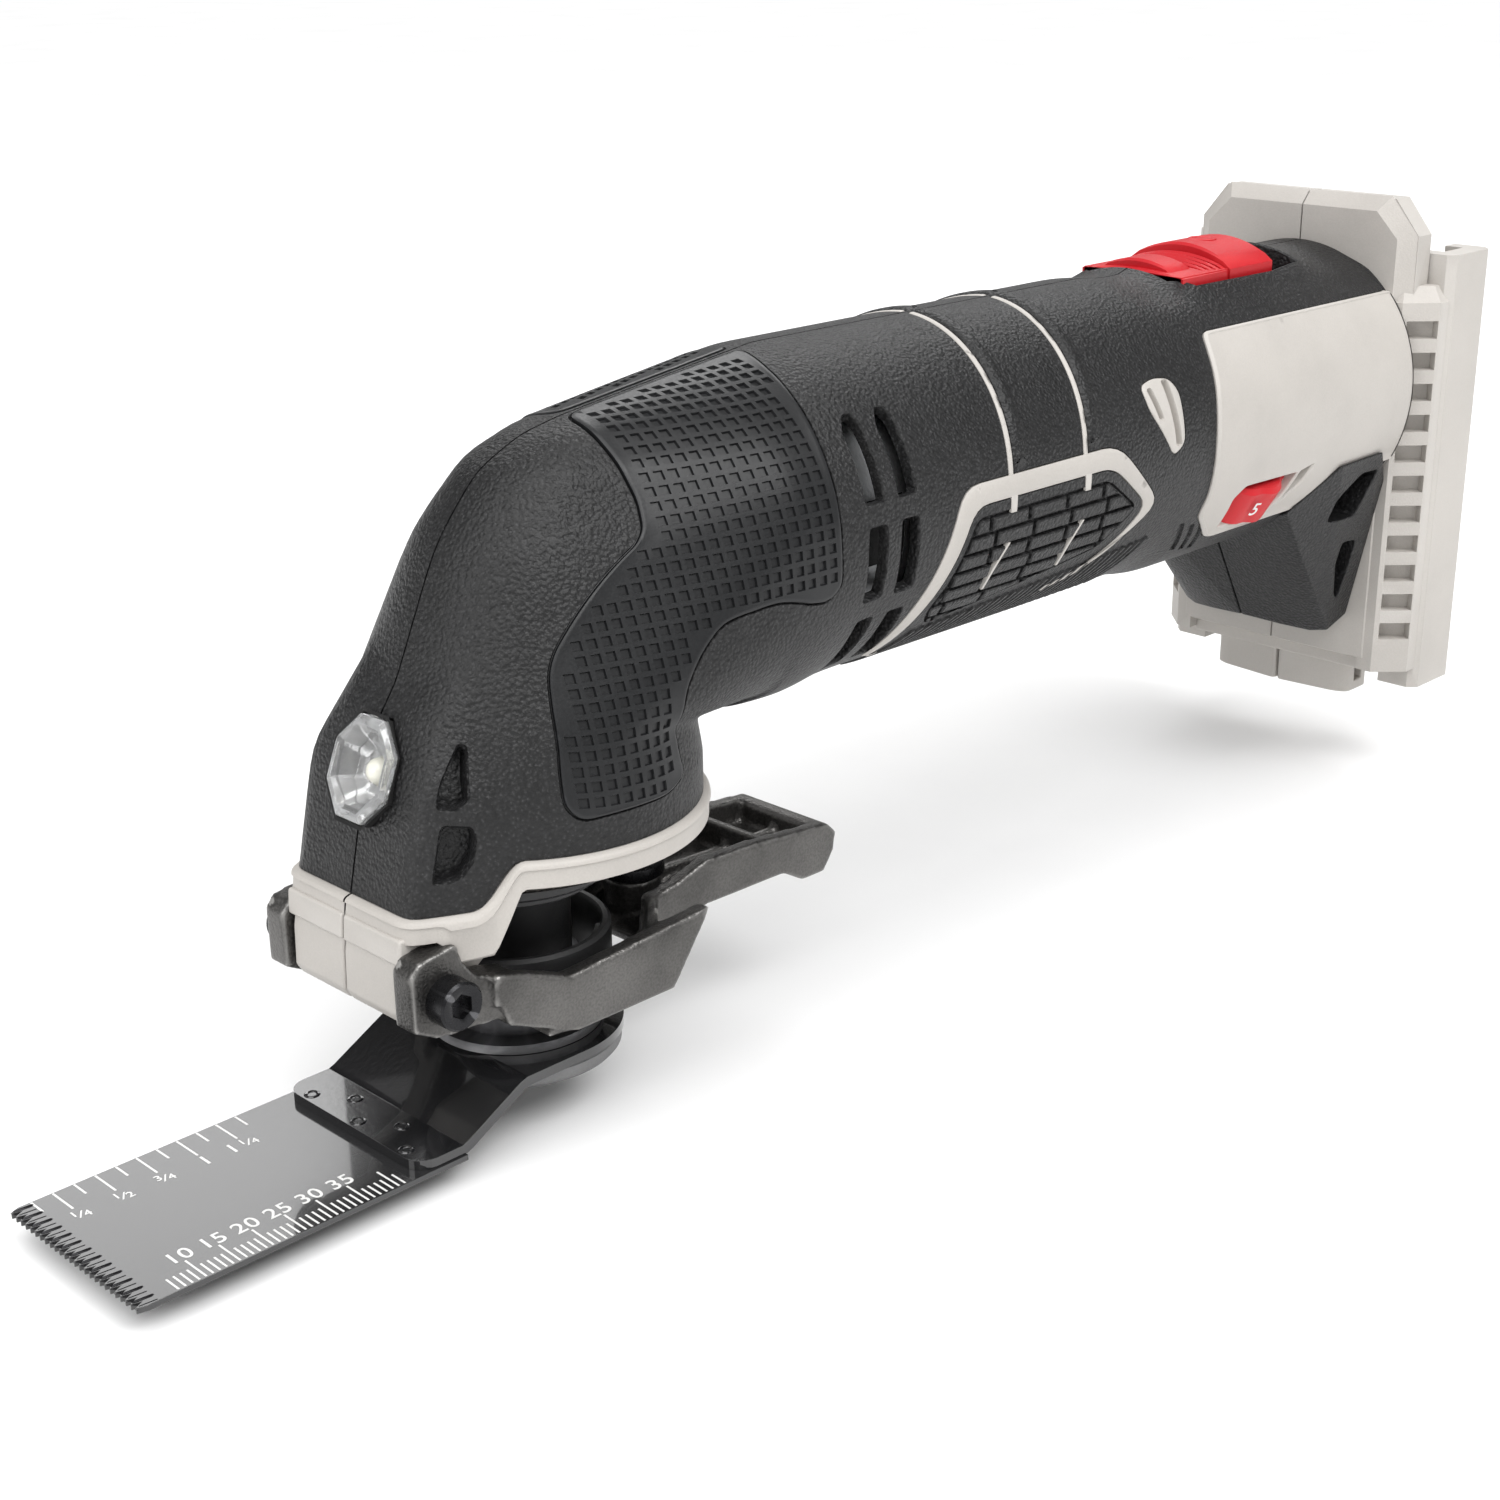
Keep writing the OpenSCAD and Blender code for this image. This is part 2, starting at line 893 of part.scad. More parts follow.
module motor_end_cap() {
    color(black)
        difference() {
            axial(motor_x0 - 5, motor_x0, motor_r);
            axial(motor_x0 - 4, motor_x0 + 1, 5.2);
            axial(motor_x0 - 6, motor_x0 + 1, 3.2);
        }
}

module brushes() {
    color([0.25, 0.24, 0.24])
        for (s = [-1, 1])
            on_side(s)
                translate([motor_x0 + 2.4, 5.9, handle_z - 2])
                    cube([4.6, 7.5, 4]);
}

module shaft_bearing(x0, x1, r_out) {
    color(steel)
        axial_ring(x0, x1, r_out, 2.5 + run);
}

module shaft_front_bearing() {
    shaft_bearing(-44, -38.5, 8 - eps);
}

module shaft_rear_bearing() {
    shaft_bearing(motor_x0 - 4, motor_x0 - 0.6, 5.2 - eps);
}

module cooling_fan() {
    color([0.1, 0.1, 0.1])
        difference() {
            union() {
                axial(-60.6, -53.2, 5);
                axial(-60.6, -59.4, 18.4);
                for (i = [0:10])
                    rotate_about_axis(i * 360 / 11)
                        translate([-59.6, -0.6, handle_z + 4.6])
                            cube([6.2, 1.2, 13]);
            }
            axial(-70, -50, 2.5);
        }
}

module counterweight() {
    color(steel)
        difference() {
            axial(-36, -34.2, 8.5);
            axial(-40, -30, 2.5);
            translate([-40, -20, handle_z + 3]) cube([10, 40, 20]);
        }
}

module eccentric_hub() {
    color(steel)
        difference() {
            union() {
                axial(-34, -31, 4.2);
                translate([0, 0, eccentric]) axial(-31.2, -23, 3.4);
            }
            axial(-38, -33, 2.5);
        }
}

module eccentric_bearing() {
    color(steel)
        translate([0, 0, eccentric])
            axial_ring(-30.4, -24.4, 6.4, 3.4);
}

// ---------- controls and electronics ----------

module switch_slider() {
    color(red)
        difference() {
            union() {
                translate([-172, -11.2, 89.3]) cube([27.5, 22.4, 3]);
                cross_plate([[-11.2, 92], [11.2, 92], [8.5, 95], [-8.5, 95]], -172, -159);
                cross_plate([[-11.2, 92], [11.2, 92], [9, 93.8], [-9, 93.8]], -152, -144.5);
                for (i = [0:3])
                    cross_plate([[-11, 92], [11, 92], [9.4, 93.2], [-9.4, 93.2]],
                        -158.2 + i * 1.6, -157.4 + i * 1.6);
                translate([-167, -3.5, 85]) cube([9, 7, 5]);
            }
            translate([-165.5, 0, 94.4])
                difference() {
                    cylinder(r = 2.4, h = 2);
                    translate([0, 0, -1]) cylinder(r = 1.6, h = 4);
                }
        }
}

module switch_block() {
    color(black)
        translate([-176, -7, 72]) cube([26, 14, 12.2]);
}

module speed_dial() {
    color(red)
        at_dial()
            difference() {
                translate([0, 0, -3.8]) cylinder(r = 11.2, h = 7.6);
                for (i = [0:11])
                    rotate([0, 0, i * 30 + 15])
                        translate([11.6, -0.5, -5])
                            cylinder(r = 0.9, h = 10);
                translate([0, 0, -6]) cylinder(r = 2.6, h = 12);
            }
}

module control_board() {
    color(green) {
        translate([-192, -12, 51]) cube([62, 24, 1.6]);
        at_dial() {
            translate([0, 0, -8.6]) cylinder(r = 3.6, h = 4.2);
            translate([0, 0, -4.6]) cylinder(r = 2.6 - run, h = 8);
        }
    }
}

module heat_sink() {
    color([0.75, 0.76, 0.77]) {
        translate([-146, -11, 52.7]) cube([14, 12, 2]);
        for (i = [0:3])
            translate([-146, -11 + i * 3.5, 54]) cube([14, 1.4, 5]);
    }
}

module terminal_block() {
    color(black) {
        translate([plate_x - 7.2, -13.6, 19.4]) cube([7.1, 27.2, 21.2]);
        translate([plate_x - 15, -13.6, 19.4]) cube([8, 27.2, 8.6]);
    }
}

module terminal_blades() {
    color([0.78, 0.68, 0.4])
        for (y = [-9.6, -3.4, 2.6, 8.8])
            translate([plate_x - 14, y, 28]) cube([6.6, 0.8, 10.4]);
}

// Two insulated leads from the motor to the control board
module lead_wires() {
    for (i = [0, 1])
        color(i == 0 ? red : black)
            translate([0, -4 - i * 4, 0]) {
                translate([-160, 0, 64]) rotate([0, 90, 0]) cylinder(r = 1.1, h = 38.8);
                translate([-160, 0, 64]) sphere(r = 1.1);
                translate([-160, 0, 52.7]) cylinder(r = 1.1, h = 11.3);
            }
}

housing_left();
housing_right();
overmould_left();
overmould_right();
grip_pad_left();
grip_pad_right();
tread_pad_left();
tread_pad_right();
boot_left();
boot_right();
nose_collar();
collar_screws();
housing_screws();
led_lens();
led();
led_board();
gear_case();
spindle();
spindle_upper_bearing();
spindle_lower_bearing();
retaining_ring();
dust_seal();
drive_fork();
eccentric_hub();
eccentric_bearing();
counterweight();
motor_can();
magnets();
motor_end_cap();
brushes();
armature();
commutator();
motor_shaft();
shaft_front_bearing();
shaft_rear_bearing();
cooling_fan();
switch_slider();
switch_block();
speed_dial();
control_board();
heat_sink();
terminal_block();
terminal_blades();
lead_wires();
clamp_lever();
pivot_screws();
lever_spring();
release_ring();
clamp_rod();
clamp_spring();
accessory_holder();
blade_arm();
blade_plate();
blade_rivets();
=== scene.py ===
import json
import math

import bmesh
import bpy
import numpy as np
from mathutils import Matrix, Vector
from mathutils.bvhtree import BVHTree
from mathutils.geometry import delaunay_2d_cdt


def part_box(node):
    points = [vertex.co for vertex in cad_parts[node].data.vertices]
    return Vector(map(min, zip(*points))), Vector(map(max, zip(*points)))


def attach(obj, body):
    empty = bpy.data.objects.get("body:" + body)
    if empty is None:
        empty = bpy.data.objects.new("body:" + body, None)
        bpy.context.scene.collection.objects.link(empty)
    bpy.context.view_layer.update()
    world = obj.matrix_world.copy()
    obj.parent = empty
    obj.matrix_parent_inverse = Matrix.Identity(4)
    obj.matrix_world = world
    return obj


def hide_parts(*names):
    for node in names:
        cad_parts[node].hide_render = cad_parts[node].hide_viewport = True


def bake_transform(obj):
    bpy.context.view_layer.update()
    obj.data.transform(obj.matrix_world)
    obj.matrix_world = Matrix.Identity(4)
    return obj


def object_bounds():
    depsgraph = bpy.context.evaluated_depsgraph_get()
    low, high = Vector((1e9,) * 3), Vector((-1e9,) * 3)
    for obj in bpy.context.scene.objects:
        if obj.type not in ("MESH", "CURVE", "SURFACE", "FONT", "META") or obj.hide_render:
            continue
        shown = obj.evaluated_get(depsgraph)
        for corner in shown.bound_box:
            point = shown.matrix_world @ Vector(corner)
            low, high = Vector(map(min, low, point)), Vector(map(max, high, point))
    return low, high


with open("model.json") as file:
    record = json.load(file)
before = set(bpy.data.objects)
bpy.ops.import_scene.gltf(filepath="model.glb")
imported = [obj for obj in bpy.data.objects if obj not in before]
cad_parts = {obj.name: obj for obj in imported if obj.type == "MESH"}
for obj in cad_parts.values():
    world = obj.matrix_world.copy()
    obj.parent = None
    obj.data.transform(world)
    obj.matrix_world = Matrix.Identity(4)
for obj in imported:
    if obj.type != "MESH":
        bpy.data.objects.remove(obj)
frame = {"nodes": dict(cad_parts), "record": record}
bounds_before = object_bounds()

# Lengths in this script are millimetres in the row frame; mesh() turns them into metres.
MM = 0.001


def box_mm(node):
    """Lowest and highest corner of a CAD node in millimetres."""
    low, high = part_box(node)
    return np.array(low) / MM, np.array(high) / MM


SKIN_LOW, SKIN_HIGH = box_mm("overmould_left")
SHELL_LOW, SHELL_HIGH = box_mm("housing_left")
CAN_LOW, CAN_HIGH = box_mm("motor_can")
BLADE_LOW, BLADE_HIGH = box_mm("blade_plate")
ARM_HIGH = box_mm("blade_arm")[1]
HOLDER_LOW, HOLDER_HIGH = box_mm("accessory_holder")
SLIDER_LOW, SLIDER_HIGH = box_mm("switch_slider")
RING_LOW, RING_HIGH = box_mm("release_ring")

PLATE_X = SKIN_LOW[0]              # front face of the battery plate
BODY_R = SKIN_HIGH[1]              # handle radius
AXIS_Z = (CAN_LOW[2] + CAN_HIGH[2]) / 2
NECK_R = BODY_R
NECK_X = -3.0
COLLAR_Z = SKIN_LOW[2]
HANDLE_X = -50.0                   # where the round handle starts to bend into the head
PIVOT = np.array([-36.0, 38.0])    # x and z of the inner corner the sections turn about


# ---------- materials ----------

def node_tree(name):
    """A new material with its nodes, links and main shader."""
    mat = bpy.data.materials.new(name)
    mat.use_nodes = True
    nodes = mat.node_tree.nodes
    return mat, nodes, mat.node_tree.links, nodes["Principled BSDF"]


def add(nodes, kind, **sockets):
    """A node of that kind with its named inputs set."""
    node = nodes.new(kind)
    for key, value in sockets.items():
        node.inputs[key.replace("_", " ")].default_value = value
    return node


def ramp(nodes, links, source, stops):
    """A colour ramp over a value, from (place, colour) stops."""
    node = nodes.new("ShaderNodeValToRGB")
    elements = node.color_ramp.elements
    for element, (at, shade) in zip(elements, (stops[0], stops[-1])):
        element.position = at
        element.color = (*shade, 1.0)
    for at, shade in stops[1:-1]:
        elements.new(at).color = (*shade, 1.0)
    links.new(source, node.inputs["Fac"])
    return node.outputs["Color"]


def mixed(nodes, links, factor, a, b, blend="MIX"):
    """Two colours blended by a factor."""
    node = nodes.new("ShaderNodeMix")
    node.data_type = "RGBA"
    node.blend_type = blend
    for socket, value in (("Factor", factor), ("A", a), ("B", b)):
        target = [s for s in node.inputs if s.name == socket and s.enabled][0]
        if isinstance(value, bpy.types.NodeSocket):
            links.new(value, target)
        elif socket == "Factor":
            target.default_value = value
        else:
            target.default_value = (*value, 1.0)
    return [s for s in node.outputs if s.enabled][0]


def surface(name, color, rough, metal=0.0, grain_mm=0.5, grain=0.3, mottle=0.08,
            wear=0.0, wear_color=(0.5, 0.5, 0.5), pebble=False, coat=0.0, stretch=None,
            spread=0.12, specular=0.5):
    """A moulded, cast or machined surface: colour drift, edge wear, grain bump, uneven gloss, and
    on pebbled skin a painted glint on each pebble with painted shade between them.
    """
    mat, nodes, links, shader = node_tree(name)
    place = nodes.new("ShaderNodeTexCoord").outputs["Object"]
    if stretch:
        mapping = nodes.new("ShaderNodeMapping")
        mapping.inputs["Scale"].default_value = stretch
        links.new(place, mapping.inputs["Vector"])
        place = mapping.outputs["Vector"]
    drift = add(nodes, "ShaderNodeTexNoise", Scale=45.0, Detail=4.0, Roughness=0.6)
    fine = add(nodes, "ShaderNodeTexNoise", Scale=1.0 / (grain_mm * MM), Detail=2.0)
    links.new(place, drift.inputs["Vector"])
    links.new(place, fine.inputs["Vector"])
    dark = tuple(c * (1.0 - mottle * 1.6) for c in color)
    light = tuple(min(1.0, c * (1.0 + mottle)) for c in color)
    tint = ramp(nodes, links, drift.outputs["Fac"], [(0.3, dark), (0.5, color), (0.7, light)])
    speck = ramp(nodes, links, fine.outputs["Fac"],
                 [(0.35, (1 - mottle,) * 3), (0.65, (1.0,) * 3)])
    tint = mixed(nodes, links, 1.0, tint, speck, "MULTIPLY")
    if wear:
        point = nodes.new("ShaderNodeNewGeometry").outputs["Pointiness"]
        edge = ramp(nodes, links, point, [(0.52, (0, 0, 0)), (0.60, (wear,) * 3)])
        tint = mixed(nodes, links, edge, tint, wear_color)
    links.new(tint, shader.inputs["Base Color"])
    gloss = nodes.new("ShaderNodeMapRange")
    gloss.inputs["To Min"].default_value = max(0.02, rough - spread)
    gloss.inputs["To Max"].default_value = min(1.0, rough + spread)
    links.new(fine.outputs["Fac"], gloss.inputs["Value"])
    links.new(gloss.outputs["Result"], shader.inputs["Roughness"])
    height = fine.outputs["Fac"]
    if pebble:
        cells = nodes.new("ShaderNodeTexVoronoi")
        cells.feature = "SMOOTH_F1"
        cells.inputs["Scale"].default_value = 1.0 / (grain_mm * MM)
        links.new(place, cells.inputs["Vector"])
        blend = nodes.new("ShaderNodeMath")
        blend.operation = "ADD"
        links.new(cells.outputs["Distance"], blend.inputs[0])
        links.new(fine.outputs["Fac"], blend.inputs[1])
        height = blend.outputs["Value"]
        # Painted highlight and shade: the base colour is brightened up to 2.6 times at each
        # pebble's centre as a painted glint, and darkened to 0.72 at its rim as painted shade
        # between the pebbles.
        pebble_glint_and_shade = ramp(nodes, links, cells.outputs["Distance"],
                     [(0.08, (2.6,) * 3), (0.26, (1.15,) * 3), (0.5, (0.72,) * 3)])
        tint = mixed(nodes, links, 1.0, tint, pebble_glint_and_shade, "MULTIPLY")
        links.new(tint, shader.inputs["Base Color"])
    bump = nodes.new("ShaderNodeBump")
    bump.inputs["Strength"].default_value = grain
    bump.inputs["Distance"].default_value = grain_mm * MM * 0.35
    links.new(height, bump.inputs["Height"])
    links.new(bump.outputs["Normal"], shader.inputs["Normal"])
    shader.inputs["Metallic"].default_value = metal
    shader.inputs["Specular IOR Level"].default_value = specular
    shader.inputs["Coat Weight"].default_value = coat
    shader.inputs["Coat Roughness"].default_value = 0.03
    return mat


def clear_plastic():
    """Clear moulded plastic with a faint haze and a little unevenness."""
    mat, nodes, links, shader = node_tree("lens_clear")
    place = nodes.new("ShaderNodeTexCoord").outputs["Object"]
    haze = add(nodes, "ShaderNodeTexNoise", Scale=260.0, Detail=3.0)
    links.new(place, haze.inputs["Vector"])
    gloss = nodes.new("ShaderNodeMapRange")
    gloss.inputs["To Min"].default_value = 0.02
    gloss.inputs["To Max"].default_value = 0.14
    links.new(haze.outputs["Fac"], gloss.inputs["Value"])
    links.new(gloss.outputs["Result"], shader.inputs["Roughness"])
    tint = ramp(nodes, links, haze.outputs["Fac"],
                [(0.3, (0.90, 0.91, 0.92)), (0.7, (0.98, 0.98, 0.97))])
    links.new(tint, shader.inputs["Base Color"])
    bump = nodes.new("ShaderNodeBump")
    bump.inputs["Strength"].default_value = 0.08
    bump.inputs["Distance"].default_value = 0.0002
    links.new(haze.outputs["Fac"], bump.inputs["Height"])
    links.new(bump.outputs["Normal"], shader.inputs["Normal"])
    shader.inputs["Transmission Weight"].default_value = 0.85
    shader.inputs["IOR"].default_value = 1.49
    return mat


def make_materials():
    """One finish for each material slot of the record, and a few for Blender's own pieces."""
    return {
        "black_rubber": surface("skin_pebble", (0.013, 0.013, 0.0135), 0.44, grain_mm=0.55,
                                grain=1.0, pebble=True, mottle=0.16, wear=0.15,
                                wear_color=(0.045, 0.045, 0.046), specular=0.36),
        "grip_rubber": surface("grip_smooth", (0.012, 0.0125, 0.0135), 0.36, grain_mm=0.35,
                               grain=0.15, mottle=0.1, wear=0.30,
                               wear_color=(0.04, 0.042, 0.046), specular=0.36),
        "seam_shadow": surface("seam_dark", (0.006, 0.006, 0.006), 0.75, grain_mm=0.4),
        "grey_shell": surface("shell_grey", (0.47, 0.445, 0.415), 0.50, grain_mm=0.34,
                              grain=0.34, mottle=0.045, wear=0.25,
                              wear_color=(0.64, 0.62, 0.59), specular=0.4),
        "red_plastic": surface("control_red", (0.50, 0.006, 0.013), 0.46, grain_mm=0.5,
                               grain=0.12, mottle=0.06, wear=0.2,
                               wear_color=(0.72, 0.06, 0.06), specular=0.32),
        "black_plastic": surface("plastic_black", (0.018, 0.018, 0.019), 0.42,
                                 grain_mm=0.3, grain=0.2, wear=0.25,
                                 wear_color=(0.06, 0.06, 0.06)),
        "clear_lens": clear_plastic(),
        "led_white": surface("led_body", (0.85, 0.84, 0.74), 0.22, grain_mm=0.3,
                             grain=0.05, mottle=0.03, coat=0.5),
        "board_green": surface("board_mask", (0.012, 0.10, 0.045), 0.3, grain_mm=0.5,
                               grain=0.12, mottle=0.2, coat=0.3),
        "cast_aluminium": surface("aluminium_cast", (0.50, 0.51, 0.52), 0.42, 0.9,
                                  grain_mm=0.5, grain=0.35, mottle=0.1),
        "dark_steel": surface("steel_dark", (0.10, 0.10, 0.105), 0.36, 0.85,
                              grain_mm=0.35, grain=0.15, wear=0.5,
                              wear_color=(0.42, 0.42, 0.43)),
        "black_steel": surface("steel_black_oxide", (0.022, 0.022, 0.024), 0.30, 0.75,
                               grain_mm=0.35, grain=0.12, wear=0.5,
                               wear_color=(0.20, 0.20, 0.21)),
        "bright_steel": surface("steel_bright", (0.62, 0.62, 0.63), 0.24, 1.0,
                                grain_mm=0.3, grain=0.1, mottle=0.06),
        "ferrite": surface("magnet_ferrite", (0.05, 0.05, 0.052), 0.6, 0.2, grain_mm=0.5),
        "graphite": surface("brush_graphite", (0.035, 0.035, 0.036), 0.5, 0.3,
                            grain_mm=0.3),
        "lamination_steel": surface("core_laminations", (0.30, 0.30, 0.31), 0.42, 0.9,
                                    grain_mm=0.5, grain=0.4, stretch=(1.0, 0.05, 0.05)),
        "copper": surface("copper_bar", (0.72, 0.33, 0.18), 0.28, 1.0, grain_mm=0.4,
                          mottle=0.12),
        "contact_brass": surface("contact_brass_plate", (0.66, 0.50, 0.22), 0.28, 1.0,
                                 grain_mm=0.4),
        "wire_insulation": surface("lead_jacket", (0.30, 0.02, 0.02), 0.4, grain_mm=0.4,
                                   grain=0.1),
        "gunmetal_casting": surface("lever_casting", (0.135, 0.131, 0.126), 0.40, 0.88,
                                    grain_mm=0.40, grain=0.9, mottle=0.30, wear=0.8,
                                    wear_color=(0.62, 0.61, 0.59), spread=0.2),
        "spring_steel": surface("spring_wire", (0.42, 0.42, 0.43), 0.26, 1.0,
                                grain_mm=0.3, grain=0.1),
        "sintered_steel": surface("holder_sintered", (0.14, 0.14, 0.142), 0.48, 0.8,
                                  grain_mm=0.34, grain=0.6, mottle=0.2, wear=0.4,
                                  wear_color=(0.5, 0.5, 0.5)),
        "black_enamel": surface("arm_enamel", (0.010, 0.010, 0.011), 0.13, 0.0,
                                grain_mm=0.9, grain=0.03, mottle=0.06, coat=1.0,
                                spread=0.03, wear=0.3, wear_color=(0.05, 0.05, 0.05)),
        "blade_steel": surface("blade_dark_satin", (0.018, 0.018, 0.019), 0.17, 0.0,
                               grain_mm=0.5, grain=0.03, mottle=0.08, coat=0.9,
                               spread=0.04, stretch=(0.25, 1.0, 1.0)),
        "print_white": surface("ruler_print", (0.72, 0.72, 0.71), 0.5, grain_mm=0.2,
                               grain=0.1, mottle=0.03),
    }


MATS = make_materials()


# ---------- mesh helpers ----------

def mesh(name, verts, faces, slot, body="tool_body", replaces=(), sharp=35.0):
    """One piece from vertices in millimetres, riding on a CAD body."""
    data = bpy.data.meshes.new(name)
    data.from_pydata((np.asarray(verts, float) * MM).tolist(), [], faces)
    data.validate()
    data.materials.append(MATS[slot])
    piece = bpy.data.objects.new(name, data)
    bpy.context.scene.collection.objects.link(piece)
    return dress(piece, slot, body, replaces, sharp)


def dress(piece, slot, body, replaces=(), sharp=35.0):
    """Smooth shading up to an angle, the body it rides on and the nodes it stands for."""
    piece.data.shade_smooth()
    piece.data.set_sharp_from_angle(angle=math.radians(sharp))
    if body:
        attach(piece, body)
    if replaces:
        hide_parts(*replaces)
    return piece


def quads(rows, n, closed=True):
    """Faces between rows of n points each, joined round when the rows are closed."""
    return [[r * n + k, r * n + (k + 1) % n, (r + 1) * n + (k + 1) % n, (r + 1) * n + k]
            for r in range(rows - 1) for k in range(n if closed else n - 1)]


def prism(points, low, high, axis="y"):
    """Vertices and faces of an outline extruded along an axis. Outlines on y hold (x, z),
    on x hold (y, z) and on z hold (x, y)."""
    pts = [tuple(map(float, p)) for p in points]
    area = sum(a[0] * b[1] - b[0] * a[1] for a, b in zip(pts, pts[1:] + pts[:1]))
    if area < 0:
        pts = pts[::-1]
    n = len(pts)
    put = {"y": lambda p, t: (p[0], t, p[1]), "x": lambda p, t: (t, p[0], p[1]),
           "z": lambda p, t: (p[0], p[1], t)}[axis]
    verts = [put(p, low) for p in pts] + [put(p, high) for p in pts]
    faces = [list(range(n - 1, -1, -1)), list(range(n, 2 * n))] + quads(2, n)
    if axis == "y":
        faces = [f[::-1] for f in faces]
    return verts, faces


def rounded(points, radius, steps=5):
    """An outline with its corners turned into arcs of about that radius."""
    pts = np.asarray(points, float)
    out = []
    for i, p in enumerate(pts):
        a, b = pts[i - 1] - p, pts[(i + 1) % len(pts)] - p
        la, lb = np.linalg.norm(a), np.linalg.norm(b)
        cut = min(radius, la * 0.45, lb * 0.45)
        start, end = p + a / la * cut, p + b / lb * cut
        for t in np.linspace(0.0, 1.0, steps):
            out.append((1 - t) ** 2 * start + 2 * t * (1 - t) * p + t * t * end)
    return np.array(out)


def joined(parts):
    """Several (verts, faces) solids as one."""
    verts, faces = [], []
    for v, f in parts:
        faces += [[i + len(verts) for i in face] for face in f]
        verts += list(v)
    return verts, faces


def mirrored(part):
    """A (verts, faces) solid mirrored to the other side of the middle plane."""
    return [(x, -y, z) for x, y, z in part[0]], [f[::-1] for f in part[1]]


def both_sides(parts):
    """The parts and their mirror images."""
    return parts + [mirrored(p) for p in parts]


def tube(center_low, center_high, radius, n=32):
    """A cylinder between two points."""
    a, b = Vector(center_low), Vector(center_high)
    side = (b - a).normalized().orthogonal().normalized()
    other = (b - a).normalized().cross(side)
    spokes = [math.cos(2 * math.pi * i / n) * side + math.sin(2 * math.pi * i / n) * other
              for i in range(n)]
    verts = [tuple(end + s * radius) for end in (a, b) for s in spokes]
    return verts, [list(range(n - 1, -1, -1)), list(range(n, 2 * n))] + quads(2, n)


def lathe(profile, place, n=64):
    """A profile of (radius, height) turned about the local Z of the placing matrix."""
    verts, faces = [], []
    for i in range(n):
        c, s = math.cos(2 * math.pi * i / n), math.sin(2 * math.pi * i / n)
        verts += [tuple(place @ Vector((r * c, r * s, h))) for r, h in profile]
    m = len(profile)
    for i in range(n):
        for k in range(m - 1):
            a, b = i * m + k, ((i + 1) % n) * m + k
            faces.append([a, b, b + 1, a + 1])
    return verts, faces


def bevel(piece, width, segments=2, angle=30.0):
    """Rounds the edges that are sharper than an angle in degrees."""
    mod = piece.modifiers.new("edges", "BEVEL")
    mod.width = width * MM
    mod.segments = segments
    mod.limit_method = "ANGLE"
    mod.angle_limit = math.radians(angle)
    mod.harden_normals = True
    return piece


def solid(parts):
    """A closed mesh from overlapping parts, kept only as a tool for cutting or remeshing."""
    verts, faces = joined(parts)
    data = bpy.data.meshes.new("work")
    data.from_pydata((np.asarray(verts, float) * MM).tolist(), [], faces)
    work = bmesh.new()
    work.from_mesh(data)
    bmesh.ops.recalc_face_normals(work, faces=work.faces)
    work.to_mesh(data)
    work.free()
    piece = bpy.data.objects.new("work", data)
    bpy.context.scene.collection.objects.link(piece)
    return piece


def cast(name, parts, cuts, slot, body, voxel=0.4, soften=4, replaces=()):
    """A casting: parts fused and cuts taken out on a fine grid, then softened all over."""
    piece = solid(parts)
    fuse = piece.modifiers.new("fuse", "REMESH")
    fuse.mode = "VOXEL"
    fuse.voxel_size = voxel * MM
    tools = []
    for cut in cuts:
        tool = solid([cut])
        mod = piece.modifiers.new("cut", "BOOLEAN")
        mod.operation = "DIFFERENCE"
        mod.solver = "EXACT"
        mod.object = tool
        tools.append(tool)
    if cuts:
        again = piece.modifiers.new("again", "REMESH")
        again.mode = "VOXEL"
        again.voxel_size = voxel * MM
    smooth = piece.modifiers.new("soften", "SMOOTH")
    smooth.factor = 0.5
    smooth.iterations = soften
    data = bpy.data.meshes.new_from_object(
        piece.evaluated_get(bpy.context.evaluated_depsgraph_get()))
    for tool in tools + [piece]:
        bpy.data.objects.remove(tool)
    data.name = name
    data.materials.clear()
    data.materials.append(MATS[slot])
    made = bpy.data.objects.new(name, data)
    bpy.context.scene.collection.objects.link(made)
    return dress(made, slot, body, replaces, 60.0)


# ---------- the body's outer surface ----------

def hull_tree(points):
    """A ray-castable convex hull of points on the left side and their mirror images."""
    work = bmesh.new()
    for x, y, z in points:
        for side in ((y, -y) if y else (0.0,)):
            work.verts.new((x, side, z))
    bmesh.ops.convex_hull(work, input=work.verts)
    tree = BVHTree.FromBMesh(work)
    work.free()
    return tree


ARC_STEPS = 40


def ring_points(z, x, radius):
    """Half of a level circle, on the left side."""
    angles = [math.pi * i / ARC_STEPS for i in range(ARC_STEPS + 1)]
    return [(x + radius * math.cos(a), radius * math.sin(a), z) for a in angles]


def disc_points(x, z, radius):
    """Half of an upright circle across the handle, on the left side."""
    angles = [math.pi * i / ARC_STEPS for i in range(ARC_STEPS + 1)]
    return [(x, radius * math.sin(a), z + radius * math.cos(a)) for a in angles]


HEAD_RINGS = [(COLLAR_Z - 4, NECK_X, NECK_R), (42, NECK_X, NECK_R), (50, -3.5, 24.4),
              (54, -3.8, 23.2), (60, -4.5, 20.4), (66, -5.0, 18.5), (71, -5.0, 16.7),
              (75, -5.0, 14.7), (79, -6.0, 12.6), (84, -8.4, 10.4), (87.5, -13.0, 7.6),
              (89, -18.0, 5.5)]        # height, centre x and radius of the head's circles


def neck_tree():
    """The upright neck below the head."""
    return hull_tree([p for z, x, r in HEAD_RINGS if z < 62 for p in ring_points(z, x, r)])


def dome_tree():
    """The rounded head and the start of the handle, above the inner corner."""
    points = [p for z, x, r in HEAD_RINGS if z > 49 for p in ring_points(z, x, r)]
    points += disc_points(-36, AXIS_Z - 1.0, BODY_R - 0.9)
    points += disc_points(HANDLE_X, AXIS_Z, BODY_R)
    return hull_tree(points)


